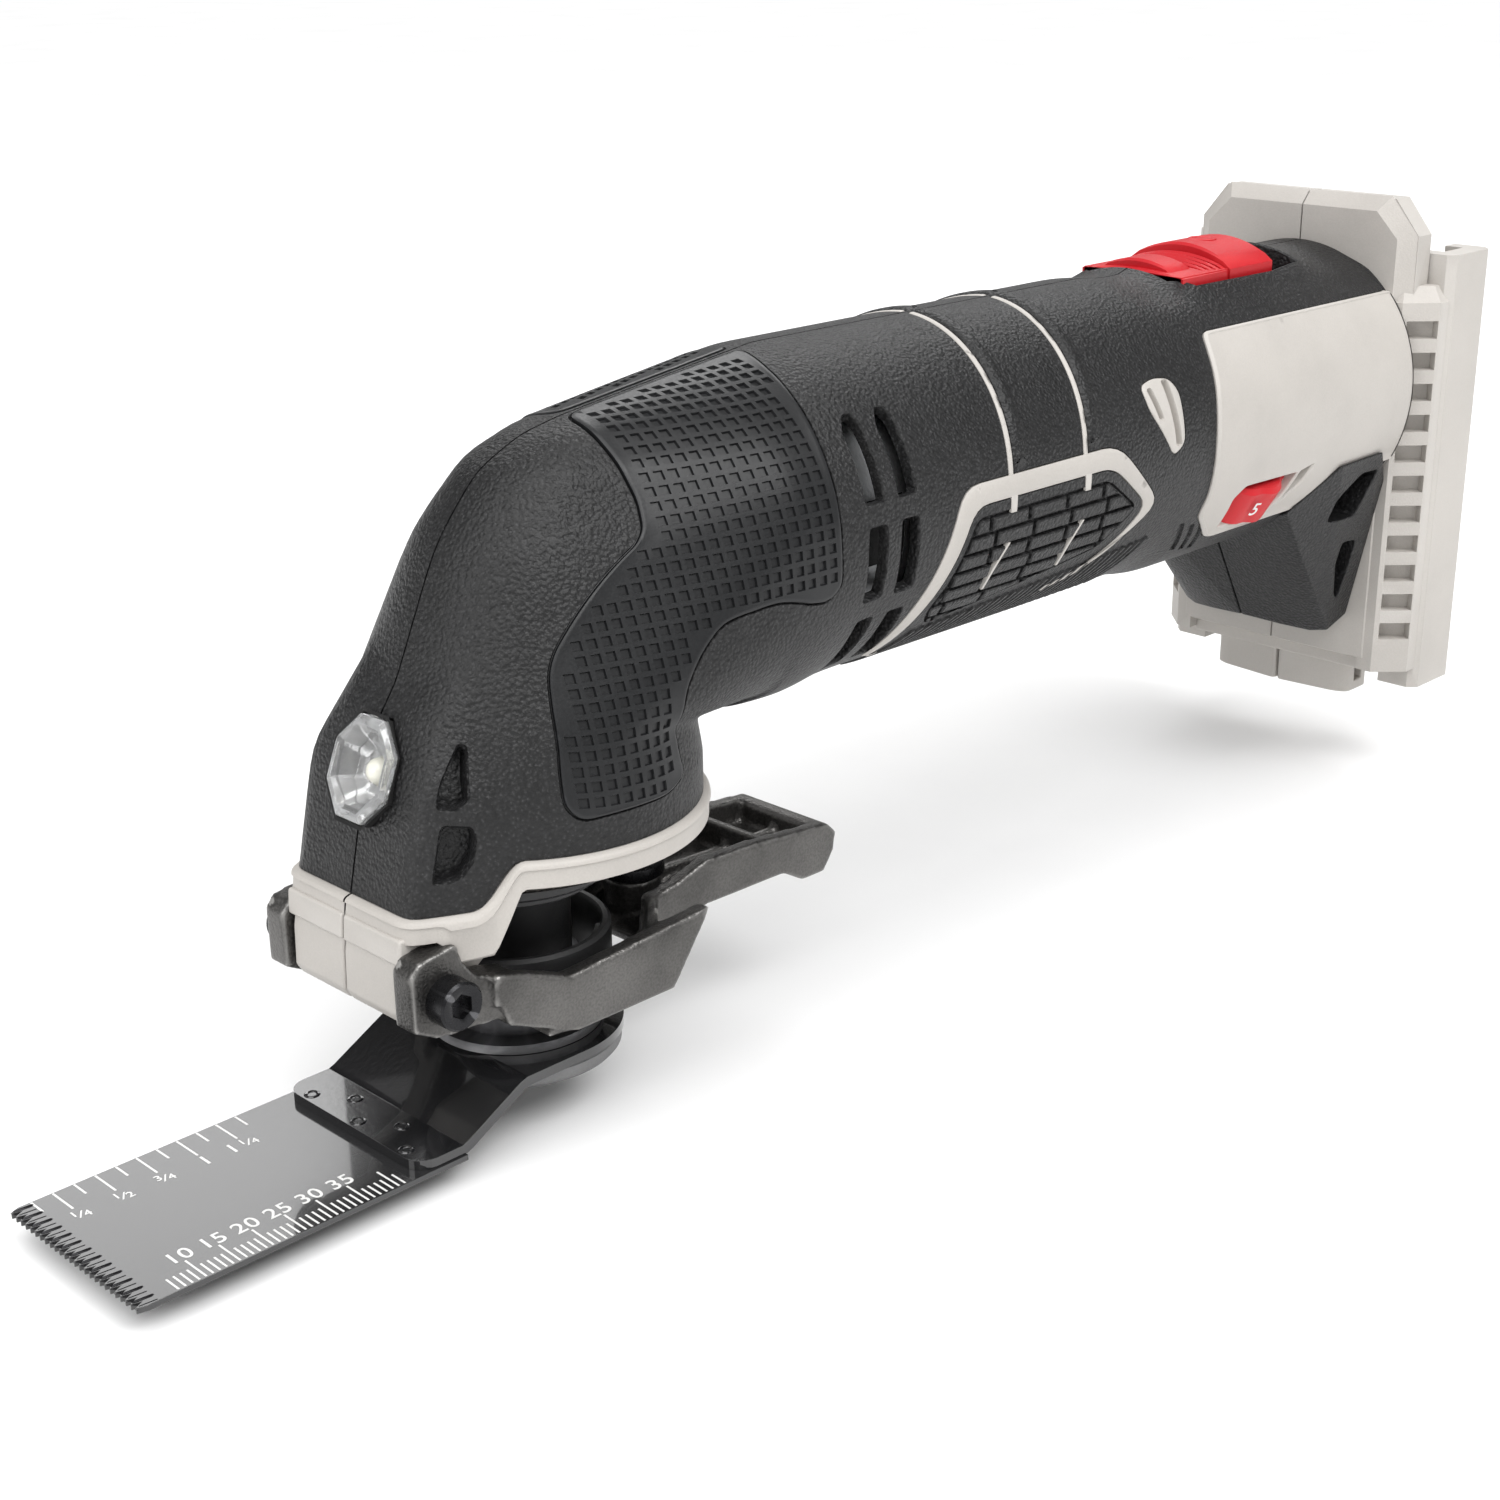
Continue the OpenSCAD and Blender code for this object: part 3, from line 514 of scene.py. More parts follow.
def nose_tree():
    """The lamp block in front, with its flat face, chamfered top and ridged flanks."""
    points = [(28.3, 12.9, COLLAR_Z - 4), (23.6, 12.9, 47), (20.6, 7.3, 54),
              (15.9, 6.5, 59.6), (17.2, 11.5, 53), (13.9, 10.2, 60.8), (18.6, 16.6, 42),
              (18.9, 16.9, COLLAR_Z - 4), (0, 10, 62)]
    return hull_tree(points + ring_points(COLLAR_Z - 4, NECK_X, NECK_R - 1)
                     + ring_points(42, NECK_X, NECK_R - 1.5))


def smooth_step(x, a, b):
    """0 before a, 1 after b and a smooth rise between them."""
    t = np.clip((np.asarray(x, float) - a) / (b - a), 0.0, 1.0)
    return t * t * (3 - 2 * t)


class Body:
    """The left half of the tool's outside, as points P[u, s]: u runs along the spine from the
    battery plate, s is the arc length round the handle from the top seam."""

    HANDLE_U = HANDLE_X - PLATE_X
    BEND_U = PIVOT[0] - PLATE_X
    FAN_U = 70.0
    SPAN = math.pi * BODY_R

    def __init__(self):
        self.end_u = self.BEND_U + self.FAN_U + PIVOT[1] - COLLAR_Z + 3.0
        self.u = np.arange(0.0, self.end_u + 0.5, 1.0)
        self.a = np.linspace(0.0, math.pi, 121)
        radius = self.cast_radius()
        radius = self.blur(radius)
        radius += self.trim()
        origin, lift = self.spine(self.u)
        c, s = np.cos(self.a)[None, :], np.sin(self.a)[None, :]
        self.P = np.stack([origin[:, 0:1] + radius * c * lift[:, 0:1], radius * s,
                           origin[:, 1:2] + radius * c * lift[:, 1:2]], axis=2)
        du = np.gradient(self.P, axis=0)
        ds = np.gradient(self.P, axis=1)
        normal = np.cross(ds, du)
        normal[:, 0, 1] = 0.0
        normal[:, -1, 1] = 0.0
        self.N = normal / np.linalg.norm(normal, axis=2, keepdims=True)
        if self.N[20, 60, 1] < 0:
            self.N = -self.N

    def spine(self, u):
        """Centre (x, z) and outward direction (x, z) of the section at u."""
        u = np.asarray(u, float)
        fan = np.clip((u - self.BEND_U) / self.FAN_U, 0.0, 1.0)
        phi = math.pi / 2 * (1.0 - fan)
        lift = np.stack([np.cos(phi), np.sin(phi)], axis=-1)
        reach = (AXIS_Z - PIVOT[1]) + 4.0 * fan
        origin = PIVOT + lift * reach[..., None]
        back = np.minimum(u - self.BEND_U, 0.0)
        down = np.maximum(u - self.BEND_U - self.FAN_U, 0.0)
        return origin + np.stack([back, -down], axis=-1), lift

    def cast_radius(self):
        """Distance from the spine to the hulls' outermost surface along each spoke."""
        trees = [neck_tree(), dome_tree(), nose_tree()]
        radius = np.full((len(self.u), len(self.a)), float(BODY_R))
        origin, lift = self.spine(self.u)
        for i, u in enumerate(self.u):
            if u < self.HANDLE_U:
                continue
            for j, a in enumerate(self.a):
                ray = Vector((math.cos(a) * lift[i, 0], math.sin(a),
                              math.cos(a) * lift[i, 1]))
                start = Vector((origin[i, 0] + 0.013, 0.007, origin[i, 1])) + ray * 150.0
                hits = [t.ray_cast(start, -ray)[3] for t in trees]
                hits = [150.0 - h for h in hits if h is not None]
                radius[i, j] = max(hits) if hits else radius[i, j - 1]
        return radius

    def blur(self, field):
        """Softens creases a little, as a moulded rubber skin does."""
        kernel = np.exp(-0.5 * (np.arange(-3, 4) / 1.1) ** 2)
        kernel /= kernel.sum()
        wide = np.concatenate([field[:, 3:0:-1], field, field[:, -2:-5:-1]], axis=1)
        wide = sum(k * wide[:, i:i + field.shape[1]] for i, k in enumerate(kernel))
        tall = np.concatenate([wide[:1]] * 3 + [wide] + [wide[-1:]] * 3, axis=0)
        return sum(k * tall[i:i + field.shape[0]] for i, k in enumerate(kernel))

    def trim(self):
        """Belly sag at the rear, the dip and bulge round the switch, the chin behind the neck."""
        x = self.u[:, None] + PLATE_X
        a = self.a[None, :]
        below = np.clip(-np.cos(a), 0.0, 1.0) ** 2
        above = smooth_step(np.cos(a), 0.80, 0.93)
        rear = 1.0 - smooth_step(x, -137.0, -127.0)
        saddle = smooth_step(x, -188.0, -178.0) * (1.0 - smooth_step(x, -146.0, -139.5))
        chin = np.exp(-((x + 40.0) / 8.0) ** 2)
        return (1.3 * below * rear + above * (1.5 * saddle - 0.7 * rear)
                + 1.2 * chin * below)

    def at(self, points, height=0.0):
        """3-D points for (u, s) pairs, lifted off the surface by a height."""
        points = np.asarray(points, float).reshape(-1, 2)
        i = np.clip(points[:, 0], 0.0, len(self.u) - 1.001)
        j = np.clip(points[:, 1] / self.SPAN * (len(self.a) - 1), 0.0, len(self.a) - 1.001)
        i0, j0 = i.astype(int), j.astype(int)
        fi, fj = (i - i0)[:, None], (j - j0)[:, None]

        def pick(grid):
            """The grid's value between its four nearest points."""
            return ((1 - fi) * (1 - fj) * grid[i0, j0] + fi * (1 - fj) * grid[i0 + 1, j0]
                    + (1 - fi) * fj * grid[i0, j0 + 1] + fi * fj * grid[i0 + 1, j0 + 1])
        normal = pick(self.N)
        normal /= np.linalg.norm(normal, axis=1, keepdims=True)
        return pick(self.P) + normal * np.reshape(height, (-1, 1))

    def find(self, x, z):
        """The (u, s) of the left-hand surface point seen from the side at (x, z)."""
        gap = (self.P[:, :, 0] - x) ** 2 + (self.P[:, :, 2] - z) ** 2
        i, j = np.unravel_index(np.argmin(gap), gap.shape)
        guess = np.array([float(i), j / (len(self.a) - 1) * self.SPAN])
        for _ in range(6):
            base = self.at(guess)[0][[0, 2]]
            jac = np.stack([(self.at(guess + d)[0][[0, 2]] - base) / 0.5
                            for d in ((0.5, 0.0), (0.0, 0.5))], axis=1)
            step = np.linalg.lstsq(jac, np.array([x, z]) - base, rcond=None)[0]
            guess = guess + np.clip(step, -2.0, 2.0)
            guess[1] = min(max(guess[1], 0.0), self.SPAN)
        return guess


BODY = Body()
SEAM = 0.16                        # half the gap between the two halves


def on_handle(points):
    """(u, s) from (x, degrees from the top) pairs."""
    pts = np.asarray(points, float)
    return np.stack([pts[:, 0] - PLATE_X, np.radians(pts[:, 1]) * BODY_R], axis=1)


def spaced(loop, step=0.8):
    """A closed outline with points no further apart than step."""
    loop = np.asarray(loop, float)
    out = []
    for a, b in zip(loop, np.roll(loop, -1, axis=0)):
        n = max(1, int(np.ceil(np.linalg.norm(b - a) / step)))
        out += [a + (b - a) * k / n for k in range(n)]
    return np.array(out)


def turned(loop):
    """The outline running anticlockwise."""
    loop = np.asarray(loop, float)
    nxt = np.roll(loop, -1, axis=0)
    area = np.sum(loop[:, 0] * nxt[:, 1] - nxt[:, 0] * loop[:, 1])
    return loop if area > 0 else loop[::-1]


def inset(loop, d):
    """The outline moved inwards by d."""
    before, after = np.roll(loop, 1, axis=0), np.roll(loop, -1, axis=0)
    e1, e2 = loop - before, after - loop
    e1 /= np.maximum(np.linalg.norm(e1, axis=1, keepdims=True), 1e-9)
    e2 /= np.maximum(np.linalg.norm(e2, axis=1, keepdims=True), 1e-9)
    n1 = np.stack([-e1[:, 1], e1[:, 0]], axis=1)
    n2 = np.stack([-e2[:, 1], e2[:, 0]], axis=1)
    both = n1 + n2
    both /= np.maximum(np.sum(both * n1, axis=1, keepdims=True), 0.35)
    return loop + both * d


def inside(points, loop):
    """Which points lie inside an outline."""
    x, y = points[:, 0], points[:, 1]
    hit = np.zeros(len(points), bool)
    for (x0, y0), (x1, y1) in zip(loop, np.roll(loop, -1, axis=0)):
        if y0 != y1:
            cross = ((y0 > y) != (y1 > y)) & (x < (x1 - x0) * (y - y0) / (y1 - y0) + x0)
            hit ^= cross
    return hit


def near(points, loop, reach):
    """Which points lie within reach of an outline."""
    hit = np.zeros(len(points), bool)
    for a, b in zip(loop, np.roll(loop, -1, axis=0)):
        d = b - a
        box = np.all((points > np.minimum(a, b) - reach)
                     & (points < np.maximum(a, b) + reach), axis=1)
        idx = np.flatnonzero(box & ~hit)
        if len(idx):
            t = np.clip((points[idx] - a) @ d / max(d @ d, 1e-12), 0.0, 1.0)
            hit[idx] |= np.linalg.norm(points[idx] - a - t[:, None] * d, axis=1) < reach
    return hit


def filled(outer, holes=(), step=1.6):
    """Triangles over the area inside an outline and outside its holes."""
    loops = [turned(outer)] + [turned(h) for h in holes]
    low, high = loops[0].min(axis=0), loops[0].max(axis=0)
    grid = np.stack(np.meshgrid(np.arange(low[0], high[0], step),
                                np.arange(low[1], high[1], step)), axis=-1).reshape(-1, 2)
    grid = grid[inside(grid, loops[0])]
    for loop in loops:
        grid = grid[~near(grid, loop, 0.45 * step)]
    for loop in loops[1:]:
        grid = grid[~inside(grid, loop)]
    points, edges = [], []
    for loop in loops:
        first = len(points)
        points += [tuple(p) for p in loop]
        edges += [(first + k, first + (k + 1) % len(loop)) for k in range(len(loop))]
    points += [tuple(p) for p in grid]
    verts, _, faces, *_ = delaunay_2d_cdt([Vector(p) for p in points], edges, [], 0, 1e-7)
    verts = np.array([tuple(v) for v in verts])
    middle = np.array([verts[list(f)].mean(axis=0) for f in faces])
    keep = inside(middle, loops[0])
    for loop in loops[1:]:
        keep &= ~inside(middle, loop)
    return verts, [list(f) for f, k in zip(faces, keep) if k]


class Sheet:
    """Collects surface pieces given in (u, s) with heights, for one object and its mirror."""

    def __init__(self):
        self.verts, self.faces = [], []

    def put(self, points, height):
        """Adds points at a height and gives the index of the first."""
        first = len(self.verts)
        self.verts += list(BODY.at(points, height))
        return first

    def area(self, outer, holes=(), height=0.0, step=1.6):
        """A filled area at one height, or at a height given as a function of (u, s)."""
        verts, faces = filled(outer, holes, step)
        first = self.put(verts, height(verts) if callable(height) else height)
        self.faces += [[first + i for i in f] for f in faces]

    def walls(self, loop, steps, clear=()):
        """Strips that follow an outline through (inset, height) steps, except inside the
        clear outlines and past the seam. Gives the last ring."""
        loop = turned(loop)
        middle = (loop + np.roll(loop, -1, axis=0)) / 2
        keep = middle[:, 1] > 0
        for other in clear:
            keep &= ~inside(middle, other)
        rings = [inset(loop, d) for d, _ in steps]
        firsts = [self.put(r, h) for r, (_, h) in zip(rings, steps)]
        n = len(loop)
        for a, b in zip(firsts, firsts[1:]):
            self.faces += [[a + k, a + (k + 1) % n, b + (k + 1) % n, b + k]
                           for k in range(n) if keep[k]]
        return rings[-1]

    def raised(self, loop, steps, step=1.6):
        """A boss or recess: its walls, then the floor or top at the last step's height."""
        last = self.walls(loop, steps)
        self.area(last, (), steps[-1][1], step)

    def build(self, name, slot, side, replaces=(), sharp=38.0):
        """Merges what was collected into one piece on the left or the right."""
        verts = np.array(self.verts)
        turn = slice(None) if side > 0 else slice(None, None, -1)
        if side < 0:
            verts = verts * np.array([1.0, -1.0, 1.0])
        work = bmesh.new()
        made = [work.verts.new(v) for v in verts]
        for f in self.faces:
            if len(set(f)) > 2:
                work.faces.new([made[i] for i in f[turn]])
        bmesh.ops.remove_doubles(work, verts=work.verts, dist=0.0005)
        work.verts.index_update()
        data_verts = [tuple(v.co) for v in work.verts]
        data_faces = [[v.index for v in f.verts] for f in work.faces]
        work.free()
        return mesh(name, data_verts, data_faces, slot, replaces=replaces, sharp=sharp)


# ---------- outlines on the body, as (x, degrees from the top) ----------

def band_along(path, width):
    """An outline of a strip whose front edge follows a path of (x, degrees)."""
    front = on_handle(path)
    return np.concatenate([front, (front - np.array([width, 0.0]))[::-1]])


def arc_path(x0, a0, x1, a1, bow=0.0):
    """A path round the handle from (x0, a0) to (x1, a1), bowed along x."""
    t = np.linspace(0.0, 1.0, 14)
    return np.stack([x0 + (x1 - x0) * t + bow * np.sin(math.pi * t), a0 + (a1 - a0) * t],
                    axis=1)


STRIPES = [(-84.2, -79.6), (-104.4, -98.2)]        # x at the top seam and at the band
STRIPE_W = 1.6
RIDGE_W = 3.0
BAND_OUTER = [(-58.0, 150), (-60.2, 126), (-69.0, 79), (-107.5, 79), (-120.6, 106),
              (-111.5, 121), (-101.0, 134)]
BAND_INNER = [(-103.5, 131), (-111.0, 118.5), (-116.6, 105.5), (-106.0, 87.5),
              (-71.8, 87.5), (-64.0, 127), (-60.4, 149)]
TREAD = [(-72.2, 91), (-105.0, 91), (-114.2, 105), (-106.5, 119), (-67.8, 133),
         (-65.8, 124)]
WINDOW = [(-116.3, 61), (-120.4, 59), (-124.6, 60.5), (-126.3, 66), (-126.0, 86),
          (-122.6, 90), (-117.0, 71)]
WINDOW_SLOTS = [[(-117.6, 63), (-119.0, 62.5), (-120.6, 75), (-119.3, 75.5)],
                [(-122.0, 61), (-123.8, 61), (-124.9, 86), (-123.2, 86)]]
LABEL = [(-199.5, 47), (-138.6, 46.5), (-137.4, 54), (-136.3, 66), (-135.2, 77),
         (-134.6, 88), (-134.8, 99), (-135.1, 111), (-134.6, 119), (-143.0, 135.5),
         (-150.0, 135.5), (-171.0, 135.5), (-180.0, 124), (-199.5, 122)]
DIAL_SLOT = [(-144.2, 130), (-143.9, 115), (-146.6, 110.5), (-163.6, 111.5),
             (-161.8, 122), (-158.6, 132)]
FINGER_RAMP = [(-163.9, 111.5), (-168.4, 109.5), (-166.4, 118), (-161.6, 127),
               (-162.3, 121)]
# Places on the head carry on along the spine past the bend, with x still growing.
PAD = [(-47.1, 1.6), (-45.3, 19), (-44.3, 37), (-43.4, 60), (-43.0, 84), (-42.7, 101),
       (-39.7, 105), (-26.0, 101), (-18.6, 99.5), (-10.0, 96), (-1.5, 97), (6.4, 99),
       (16.0, 106), (25.4, 112), (29.2, 103), (31.1, 70), (29.0, 64), (20.4, 59),
       (12.5, 50), (9.8, 49), (-8.9, 53), (-11.0, 51), (-13.2, 43), (-15.1, 27),
       (-16.8, 1.6)]
POCKETS = [[(22.3, 30), (22.6, 33), (28.2, 37), (29.4, 33.5), (29.2, 28.5), (26.3, 28.5)],
           [(30.6, 30), (30.9, 38), (32.1, 39.5), (35.0, 38.8), (37.6, 35), (37.8, 28.5),
            (36.4, 28.5)]]
AIR_ROWS = (-47.9, -54.8)                          # front edge of each row of air slots
AIR_SPANS = ((46, 77), (84, 110), (117, 143))      # each slot's degrees from the top
AIR_W = 4.3
SLITS = [(-130.5, 121), (-134.0, 123), (-137.5, 125)]


def label_loop():
    """The light panel at the rear of the handle."""
    return spaced(rounded(on_handle(LABEL), 2.4, 6), 0.9)


def air_slot(x, start, end):
    """One slot of a row, narrower at its start when it is the top one."""
    taper = 1.6 if start < 60 else 0.3
    path = [(x - taper, start), (x, start + 7), (x, end), (x - AIR_W, end),
            (x - AIR_W, start + 4), (x - AIR_W + taper * 0.4, start)]
    return spaced(rounded(on_handle(path), 0.7, 3), 0.9)


def stripe_loops(i):
    """The grey line and the ridge behind it, from the seam down to the band."""
    top, low = STRIPES[i]
    line = band_along(arc_path(top, 1.3, low, 81), STRIPE_W)
    ridge = band_along(arc_path(top - STRIPE_W - 0.1, 1.3, low - STRIPE_W - 0.1, 77),
                       RIDGE_W)
    return spaced(line), spaced(ridge)


def band_loop():
    """The grey band round the front and the top of the tread."""
    return spaced(np.concatenate([rounded(on_handle(BAND_OUTER), 4.0),
                                  rounded(on_handle(BAND_INNER), 3.0)]))


def brick_loops():
    """Blocks of the tread in slightly staggered rows, kept inside the tread's outline."""
    edge = inset(turned(on_handle(TREAD)), 0.5)
    loops = []
    for row in range(7):
        for col in range(7):
            x = -57.0 - col * 9.4 - (row % 2) * 1.1 - row * 0.5
            a = 91.8 + row * 6.2
            block = on_handle([(x, a), (x - 8.7, a), (x - 8.7, a + 5.3), (x, a + 5.3)])
            block = np.array([p for p in clip(spaced(block, 2.0), edge)])
            if len(block) > 3:
                loops.append(block)
    return loops


def clip(loop, edge):
    """The part of a convex outline inside another convex outline."""
    points = [tuple(p) for p in turned(loop)]
    for a, b in zip(edge, np.roll(edge, -1, axis=0)):
        n = np.array([-(b - a)[1], (b - a)[0]])
        kept = []
        for p, q in zip(points, points[1:] + points[:1]):
            p, q = np.array(p), np.array(q)
            dp, dq = (p - a) @ n, (q - a) @ n
            if dp >= 0:
                kept.append(tuple(p))
            if (dp >= 0) != (dq >= 0):
                kept.append(tuple(p + (q - p) * dp / (dp - dq)))
        points = kept
        if len(points) < 3:
            return []
    return points


def pad_loop():
    """The checkered pad: beside the top seam, down the flank of the head and the neck."""
    return spaced(rounded(on_handle(PAD), 2.4), 0.9)


def pocket_loops():
    """Two recesses in the flank of the lamp block."""
    return [spaced(rounded(on_handle(l), 0.8), 0.7) for l in POCKETS]


# ---------- skin, shell and pads ----------

def skin_domain():
    """The whole left half from the battery plate to the stepped edge above the collar."""
    end = BODY.BEND_U + BODY.FAN_U + PIVOT[1]
    front, rear = end - COLLAR_Z, end - 36.4
    step = [(front, 17.0), (front - 0.4, 18.2), (front - 1.6, 19.3), (rear + 1.6, 21.4),
            (rear + 0.4, 22.6), (rear, 24.0)]
    loop = [(0.0, SEAM), (front, SEAM)] + step + [(rear, BODY.SPAN - SEAM),
                                                  (0.0, BODY.SPAN - SEAM)]
    return turned(spaced(np.array(loop), 0.9))


def lens_hole():
    """The lamp opening's half outline in (u, s); it reaches past the seam."""
    low, high = BODY.find(26.2, 39.6)[0], BODY.find(20.4, 54.2)[0]
    mid = (low + high) / 2
    span = (low - high) / 2 - 0.2
    half = [(mid - span, -1.0), (mid - span, 2.9), (mid - 0.44 * span, 6.2),
            (mid + 0.44 * span, 6.2), (mid + span, 2.9), (mid + span, -1.0)]
    return spaced(np.array(half), 0.9)


def switch_hole():
    """The pocket that the switch slides in, as a half outline that reaches past the seam."""
    half = on_handle([(-143.0, 0), (-143.0, 19), (-147.0, 26.5), (-170.5, 27), (-180.5, 24.5),
                      (-180.8, 0)])
    half[[0, -1], 1] = -1.0
    return spaced(half, 0.9)


RIM = [(0.0, 0.0), (0.12, -0.18), (0.22, -0.5)]


def build_skin(side):
    """The black skin, with every opening rimmed and each recess given its own walls."""
    tag = "left" if side > 0 else "right"
    sheet = Sheet()
    domain = skin_domain()
    slots = [air_slot(x, a, b) for x in AIR_ROWS for a, b in AIR_SPANS]
    lines, ridges = zip(*[stripe_loops(i) for i in range(2)])
    pockets = pocket_loops()
    window = spaced(rounded(on_handle(WINDOW), 1.6))
    tread = spaced(rounded(on_handle(TREAD), 2.0))
    slits = [spaced(on_handle([(x, a), (x - 1.6, a), (x - 5.6, a + 17), (x - 4.0, a + 17)]))
             for x, a in SLITS]
    openings = [label_loop(), band_loop(), window, pad_loop(), lens_hole(), tread,
                switch_hole()]
    openings += list(lines) + slots
    recessed = pockets + slits
    sheet.area(domain, openings + recessed + list(ridges))
    for loop in openings:
        sheet.walls(loop, RIM)
    for loop in slots:
        sheet.walls(loop, [(0.22, -0.5), (0.25, -1.9)])
    for loop in ridges:
        sheet.raised(loop, [(0.0, 0.0), (0.35, 0.28), (1.0, 0.5)])
    for loop in pockets:
        sheet.raised(loop, [(0.0, 0.0), (0.25, -0.4), (0.5, -2.9)])
    for loop in slits:
        sheet.raised(loop, [(0.0, 0.0), (0.2, -0.5)])
    pocket = sheet.walls(switch_hole(), [(0.0, 0.0), (0.3, -0.3), (0.4, -4.6)])
    sheet.area(pocket, (), -4.6)
    sheet.walls(domain, [(0.0, 0.0), (-0.02, -0.4)], (lens_hole(), switch_hole()))
    sheet.build(f"skin_{tag}", "black_rubber", side, (f"overmould_{tag}",))


def build_ribs(side):
    """Fine slanted ribs on the belly under the tread."""
    sheet = Sheet()
    for k in range(30):
        x = -66.0 - k * 1.9
        a0 = 134.5 - k * 0.42
        loop = on_handle([(x, a0), (x - 0.95, a0), (x + 4.6, a0 + 27), (x + 5.5, a0 + 27)])
        sheet.raised(spaced(loop, 1.4), [(0.0, -0.05), (0.18, 0.35)])
    sheet.build("belly_ribs_" + ("left" if side > 0 else "right"), "black_rubber", side)


def build_shell(side):
    """Grey parts of the housing that show through the skin."""
    tag = "left" if side > 0 else "right"
    sheet = Sheet()
    crisp = [(0.22, -0.5), (0.24, -0.1), (0.5, 0.1)]
    for i in range(2):
        sheet.raised(stripe_loops(i)[0], crisp, 1.2)
    sheet.raised(band_loop(), [(0.22, -0.5), (0.26, 0.05), (0.8, 0.28)], 1.2)
    window = spaced(rounded(on_handle(WINDOW), 1.6))
    slots = [spaced(rounded(on_handle(s), 0.5, 3)) for s in WINDOW_SLOTS]
    last = sheet.walls(window, crisp)
    sheet.area(last, slots, 0.1, 1.2)
    for slot in slots:
        sheet.raised(slot, [(0.0, 0.1), (0.12, -0.15), (0.2, -1.0)])
    for i, x in enumerate((-80.0, -98.6)):
        stub = on_handle([(x, 86), (x - 1.7, 86), (x - 1.5, 94), (x + 0.5, 94),
                          (x + 0.5, 92.8), (x, 92.6)])
        sheet.raised(spaced(stub), [(0.0, -0.3), (0.1, 0.12)])
        sliver = band_along(arc_path(x - 0.2, 103, x + 2.6, 121, bow=0.7), 0.7)
        sheet.raised(spaced(sliver), [(0.0, -0.3), (0.08, 0.3)])
    for x in AIR_ROWS:
        for a, b in AIR_SPANS:
            under = on_handle([(x - 2.0, a + 3), (x - 2.0, b - 0.5), (x + 0.6, b - 0.5),
                               (x + 0.6, a + 3)])
            if x == AIR_ROWS[0]:
                sheet.raised(spaced(under), [(0.0, -3.2), (0.3, -1.9)])
    sheet.build(f"shell_trim_{tag}", "grey_shell", side)


def build_label(side):
    """The light panel: a bevelled edge, a raised field and, on the left, the dial's slot."""
    tag = "left" if side > 0 else "right"
    sheet = Sheet()
    steps = [(0.22, -0.5), (0.25, 0.15), (0.6, 0.5), (0.85, 0.55), (1.05, 0.38)]
    last = sheet.walls(label_loop(), steps)
    holes = [dial_loop(), ramp_loop()] if side > 0 else []
    sheet.area(last, holes, 0.38, 1.4)
    if side > 0:
        sheet.walls(dial_loop(), [(0.0, 0.38), (0.25, 0.1), (0.3, -3.0)])
        sheet.walls(ramp_loop(), [(0.0, 0.38), (0.25, 0.1), (0.3, -1.6)])
        sheet.area(inset(turned(ramp_loop()), 0.3), (), -1.6)
    sheet.build(f"label_panel_{tag}", "grey_shell", side)


def dial_loop():
    """The slanted slot that the speed dial shows through."""
    return spaced(rounded(on_handle(DIAL_SLOT), 0.8))


def ramp_loop():
    """The finger ramp behind the dial's slot."""
    return spaced(rounded(on_handle(FINGER_RAMP), 0.6))


def build_tread(side):
    """Brick-like blocks standing on a sunk floor."""
    tag = "left" if side > 0 else "right"
    sheet = Sheet()
    tread = spaced(rounded(on_handle(TREAD), 2.0))
    sheet.area(inset(turned(tread), 0.2), (), -0.5)
    for block in brick_loops():
        sheet.raised(spaced(block, 1.2), [(0.0, -0.5), (0.12, 0.1), (0.35, 0.28)])
    sheet.build(f"tread_{tag}", "black_rubber", side, (f"tread_pad_{tag}",))


def build_pad(side):
    """The smooth rubber pad: a groove, a plain border, then square pits in slanted rows."""
    tag = "left" if side > 0 else "right"
    sheet = Sheet()
    loop = pad_loop()
    border = sheet.walls(loop, [(0.1, -0.55), (0.35, -0.5), (0.45, 0.12), (0.75, 0.22),
                                (1.05, 0.18)])
    pits = pad_pits(border)
    sheet.area(border, pits, 0.18, 1.9)
    for pit in pits:
        sheet.raised(pit, [(0.0, 0.18), (0.06, 0.0), (0.12, -0.2)], 9.0)
    sheet.build(f"grip_{tag}", "grip_rubber", side, (f"grip_pad_{tag}",), sharp=30.0)


PITCH = 2.12
PIT_SHARE = 0.66
PIT_ROWS = (-14, 24)                # rows below and above the start height
PIT_START = 66.0                   # height on the flank where the rows are counted from


def walk_column(x):
    """(u, s) places at equal steps over the surface in the upright plane at x."""
    start = BODY.find(x, PIT_START)
    places = {0: start}
    for way, last in ((1, PIT_ROWS[1]), (-1, PIT_ROWS[0])):
        at = start.copy()
        for row in range(way, last + way, way):
            for _ in range(4):
                here, along, across = BODY.at([at, at + (0.5, 0.0), at + (0.0, 0.5)])
                along, across = (along - here) / 0.5, (across - here) / 0.5
                step = np.array([-across[0], along[0]])
                move = along * step[0] + across * step[1]
                rise = move[2] if abs(move[2]) > abs(move[1]) * 0.2 else -move[1]
                step *= way * np.sign(rise) * PITCH / 4 / max(np.linalg.norm(move), 1e-6)
                at = at + step
            places[row] = at.copy()
    return places


def pad_pits(border):
    """Pits in columns across the spine and rows along it, only where a whole pit fits."""
    safe = inset(turned(border), 0.1)
    columns = [walk_column(x) for x in np.arange(-46.0, 8.0, PITCH)]
    pits = []
    for left, right in zip(columns, columns[1:]):
        for row in range(PIT_ROWS[0], PIT_ROWS[1]):
            corners = np.array([left[row], right[row], right[row + 1], left[row + 1]])
            middle = corners.mean(axis=0)
            pit = middle + (corners - middle) * PIT_SHARE
            if inside(pit, safe).all():
                pits.append(turned(pit))
    return pits


